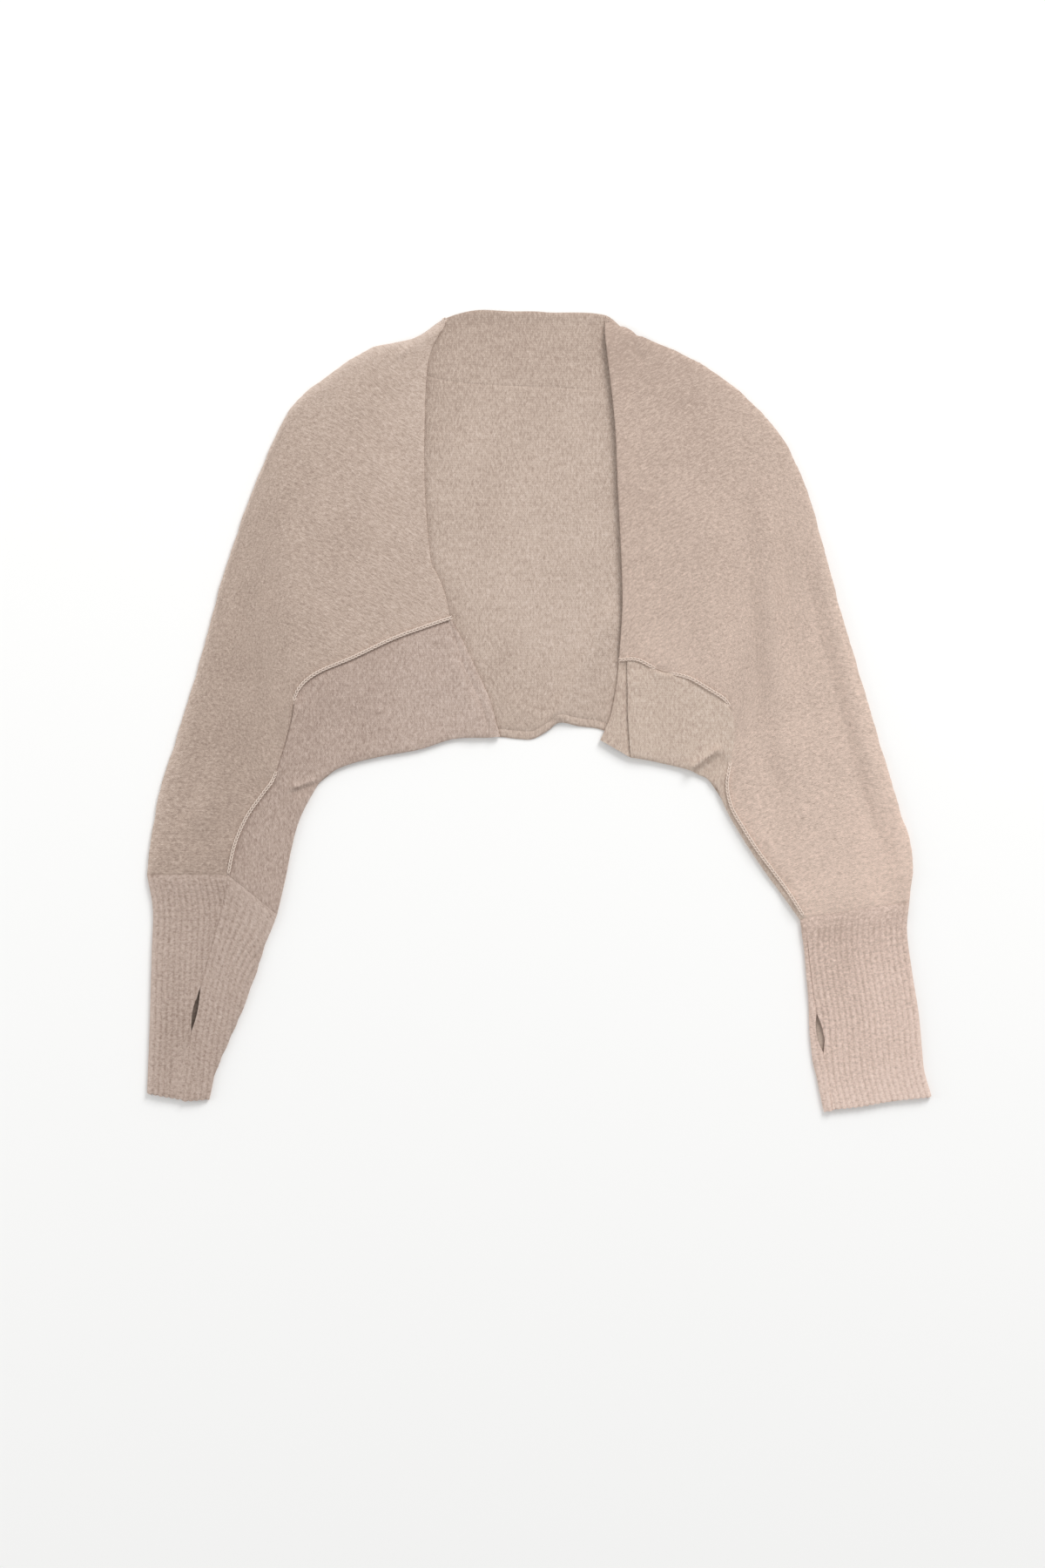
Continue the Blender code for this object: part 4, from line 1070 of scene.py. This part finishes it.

# The sleeves' flecks lie across the wales, as courses show there; on the upright panels they
# lie along the wales. The seams' stitches are painted lighter: a painted highlight on the raised ridge.
COURSES = (4.5, 2.5)
WALES = (2.0, 5.0)
RIB_FLECKS = (3.2, 2.4)
# The left pieces are painted darker and the right pieces lighter, with the back between: shaded and lit
# copies of one wool, painted light for the lamp on the right. The left sleeve and cuff also carry a painted
# highlight along their folded edges.
WOOL_LEFT = wool("lambswool_left", "#bda99b", "#a08c80", "#d6c3b6", COURSES, (-0.2, 0.13),
                 (1.0, 0.3), edge_highlight=0.45)
WOOL_LEFT_LOWER = wool("lambswool_left_lower", "#baa69a", "#9e897e", "#d2bfb4", WALES,
                       (-0.15, 0.0), (1.15, 0.0))
WOOL_RIGHT = wool("lambswool_right", "#ceb9ab", "#b29d90", "#e7cdbe", COURSES, (0.2, 0.03),
                  (0.8, -0.8))
WOOL_RIGHT_LOWER = wool("lambswool_right_lower", "#c9b6a7", "#af998d", "#dccbbe", WALES,
                        (0.13, 0.0), (0.8, 0.0))
WOOL_RIB = {
    "left": wool("lambswool_rib_left", "#bda99d", "#9a867a", "#d3c1b6", RIB_FLECKS,
                 (-0.3, -0.25), (1.15, 0.0), marl=0.9, ribbed=True, edge_highlight=0.3),
    "right": wool("lambswool_rib_right", "#dfc7ba", "#bba598", "#f0dbcf", RIB_FLECKS,
                  (0.28, -0.265), (1.15, -2.0), marl=0.9, ribbed=True),
}
# The upper face of each cuff's lower layer, seen through the thumb slit, is painted darker: painted shade
# inside the cuff.
WOOL_INSIDE_SHADED = {
    "left": wool("lambswool_inside_left", "#7f7065", "#6c5e54", "#95857a", RIB_FLECKS, (-0.3, -0.25),
                 (0.0, 0.0)),
    "right": wool("lambswool_inside_right", "#cfbcae", "#bca99b", "#dccabd", RIB_FLECKS,
                  (0.28, -0.265), (0.0, 0.0)),
}
# The back is painted darker toward its neck and its hem: painted shade.
WOOL_BACK = wool("lambswool_back", "#c6b3a5", "#ab978a", "#dac8bc", WALES, (0.0, 0.12),
                 (0.7, 0.0), painted_shade_bow=6.0)
SEAM_WOOL_HIGHLIT = {
    "left": wool("lambswool_seam_left", "#e6d6ca", "#d1c0b3", "#f3e6dc", COURSES, (-0.2, 0.0),
                 (1.0, 0.0)),
    "right": wool("lambswool_seam_right", "#ecdbcf", "#d7c5b8", "#f7eae0", COURSES, (0.2, 0.0),
                  (1.0, 0.0)),
}

for side, upper, lower, armhole, material in (
        ("left", LEFT_UPPER, LEFT_LOWER, LEFT_ARMHOLE, WOOL_LEFT),
        ("right", RIGHT_UPPER, RIGHT_LOWER, RIGHT_ARMHOLE, WOOL_RIGHT)):
    along = np.linspace(0, 1, 90)
    build_under(f"knit_back_sleeve_{side}", f"back_sleeve_{side}",
                rail([row[:2] for row in upper], armhole[0])(along),
                rail(lower, armhole[1])(along), material)
build_back(WOOL_BACK)
for side, cuff in (("left", LEFT_CUFF), ("right", RIGHT_CUFF)):
    along = np.linspace(0, 1, 50)
    build_under(f"knit_cuff_back_{side}", f"cuff_back_{side}",
                rail([row[:2] for row in cuff])(along), rail([row[4:] for row in cuff])(along),
                WOOL_RIB[side], WOOL_INSIDE_SHADED[side])
    build_cuff(side, cuff, WOOL_RIB[side])
build_front("left", LEFT_UPPER, LEFT_LOWER, LEFT_OPENING, 0.12, 0.5, WOOL_LEFT, WOOL_LEFT_LOWER)
build_front("right", RIGHT_UPPER, RIGHT_LOWER, RIGHT_OPENING, 0.45, 0.625, WOOL_RIGHT,
            WOOL_RIGHT_LOWER)


def add_floor():
    """A plain pale surface to lie on."""
    mesh = bpy.data.meshes.new("floor")
    half = 4.0
    mesh.from_pydata([(-half, -half, 0), (half, -half, 0), (half, half, 0), (-half, half, 0)], [],
                     [(0, 1, 2, 3)])
    floor = linked("floor", mesh)
    paper = bpy.data.materials.new("white_paper")
    paper.use_nodes = True
    shader = paper.node_tree.nodes["Principled BSDF"]
    shader.inputs["Base Color"].default_value = colour("#fbfbfa")
    shader.inputs["Roughness"].default_value = 1.0
    shader.inputs["Specular IOR Level"].default_value = 0.0
    floor.data.materials.append(paper)


def add_light(name, place, aim, size, power):
    """A soft rectangular lamp."""
    lamp = bpy.data.lights.new(name, "AREA")
    lamp.shape = "RECTANGLE"
    lamp.size, lamp.size_y = size
    lamp.energy = power
    thing = bpy.data.objects.new(name, lamp)
    bpy.context.scene.collection.objects.link(thing)
    thing.location = place
    thing.rotation_euler = (Vector(aim) - Vector(place)).to_track_quat("-Z", "Y").to_euler()


def add_camera():
    """Straight above, a little below the garment's middle, as the photograph frames it."""
    eye = bpy.data.cameras.new("camera")
    eye.sensor_width = 36.0
    eye.lens = eye.sensor_width * CAMERA_HEIGHT / VIEW_HEIGHT
    thing = bpy.data.objects.new("camera", eye)
    bpy.context.scene.collection.objects.link(thing)
    thing.location = (*VIEW_CENTRE, CAMERA_HEIGHT)
    bpy.context.scene.camera = thing


add_floor()
add_camera()
add_light("window", (1.66, 2.66, 2.2), (0.0, 0.0, 0.0), (1.4, 1.8), 93.0)
add_light("reflector", (-2.6, -0.1, 0.9), (0.0, 0.0, 0.0), (1.0, 2.0), 17.0)
world = bpy.data.worlds.new("room")
world.use_nodes = True
world.node_tree.nodes["Background"].inputs["Color"].default_value = (1.0, 1.0, 1.0, 1.0)
world.node_tree.nodes["Background"].inputs["Strength"].default_value = 0.62
bpy.context.scene.world = world
bpy.context.scene.view_settings.view_transform = "Standard"
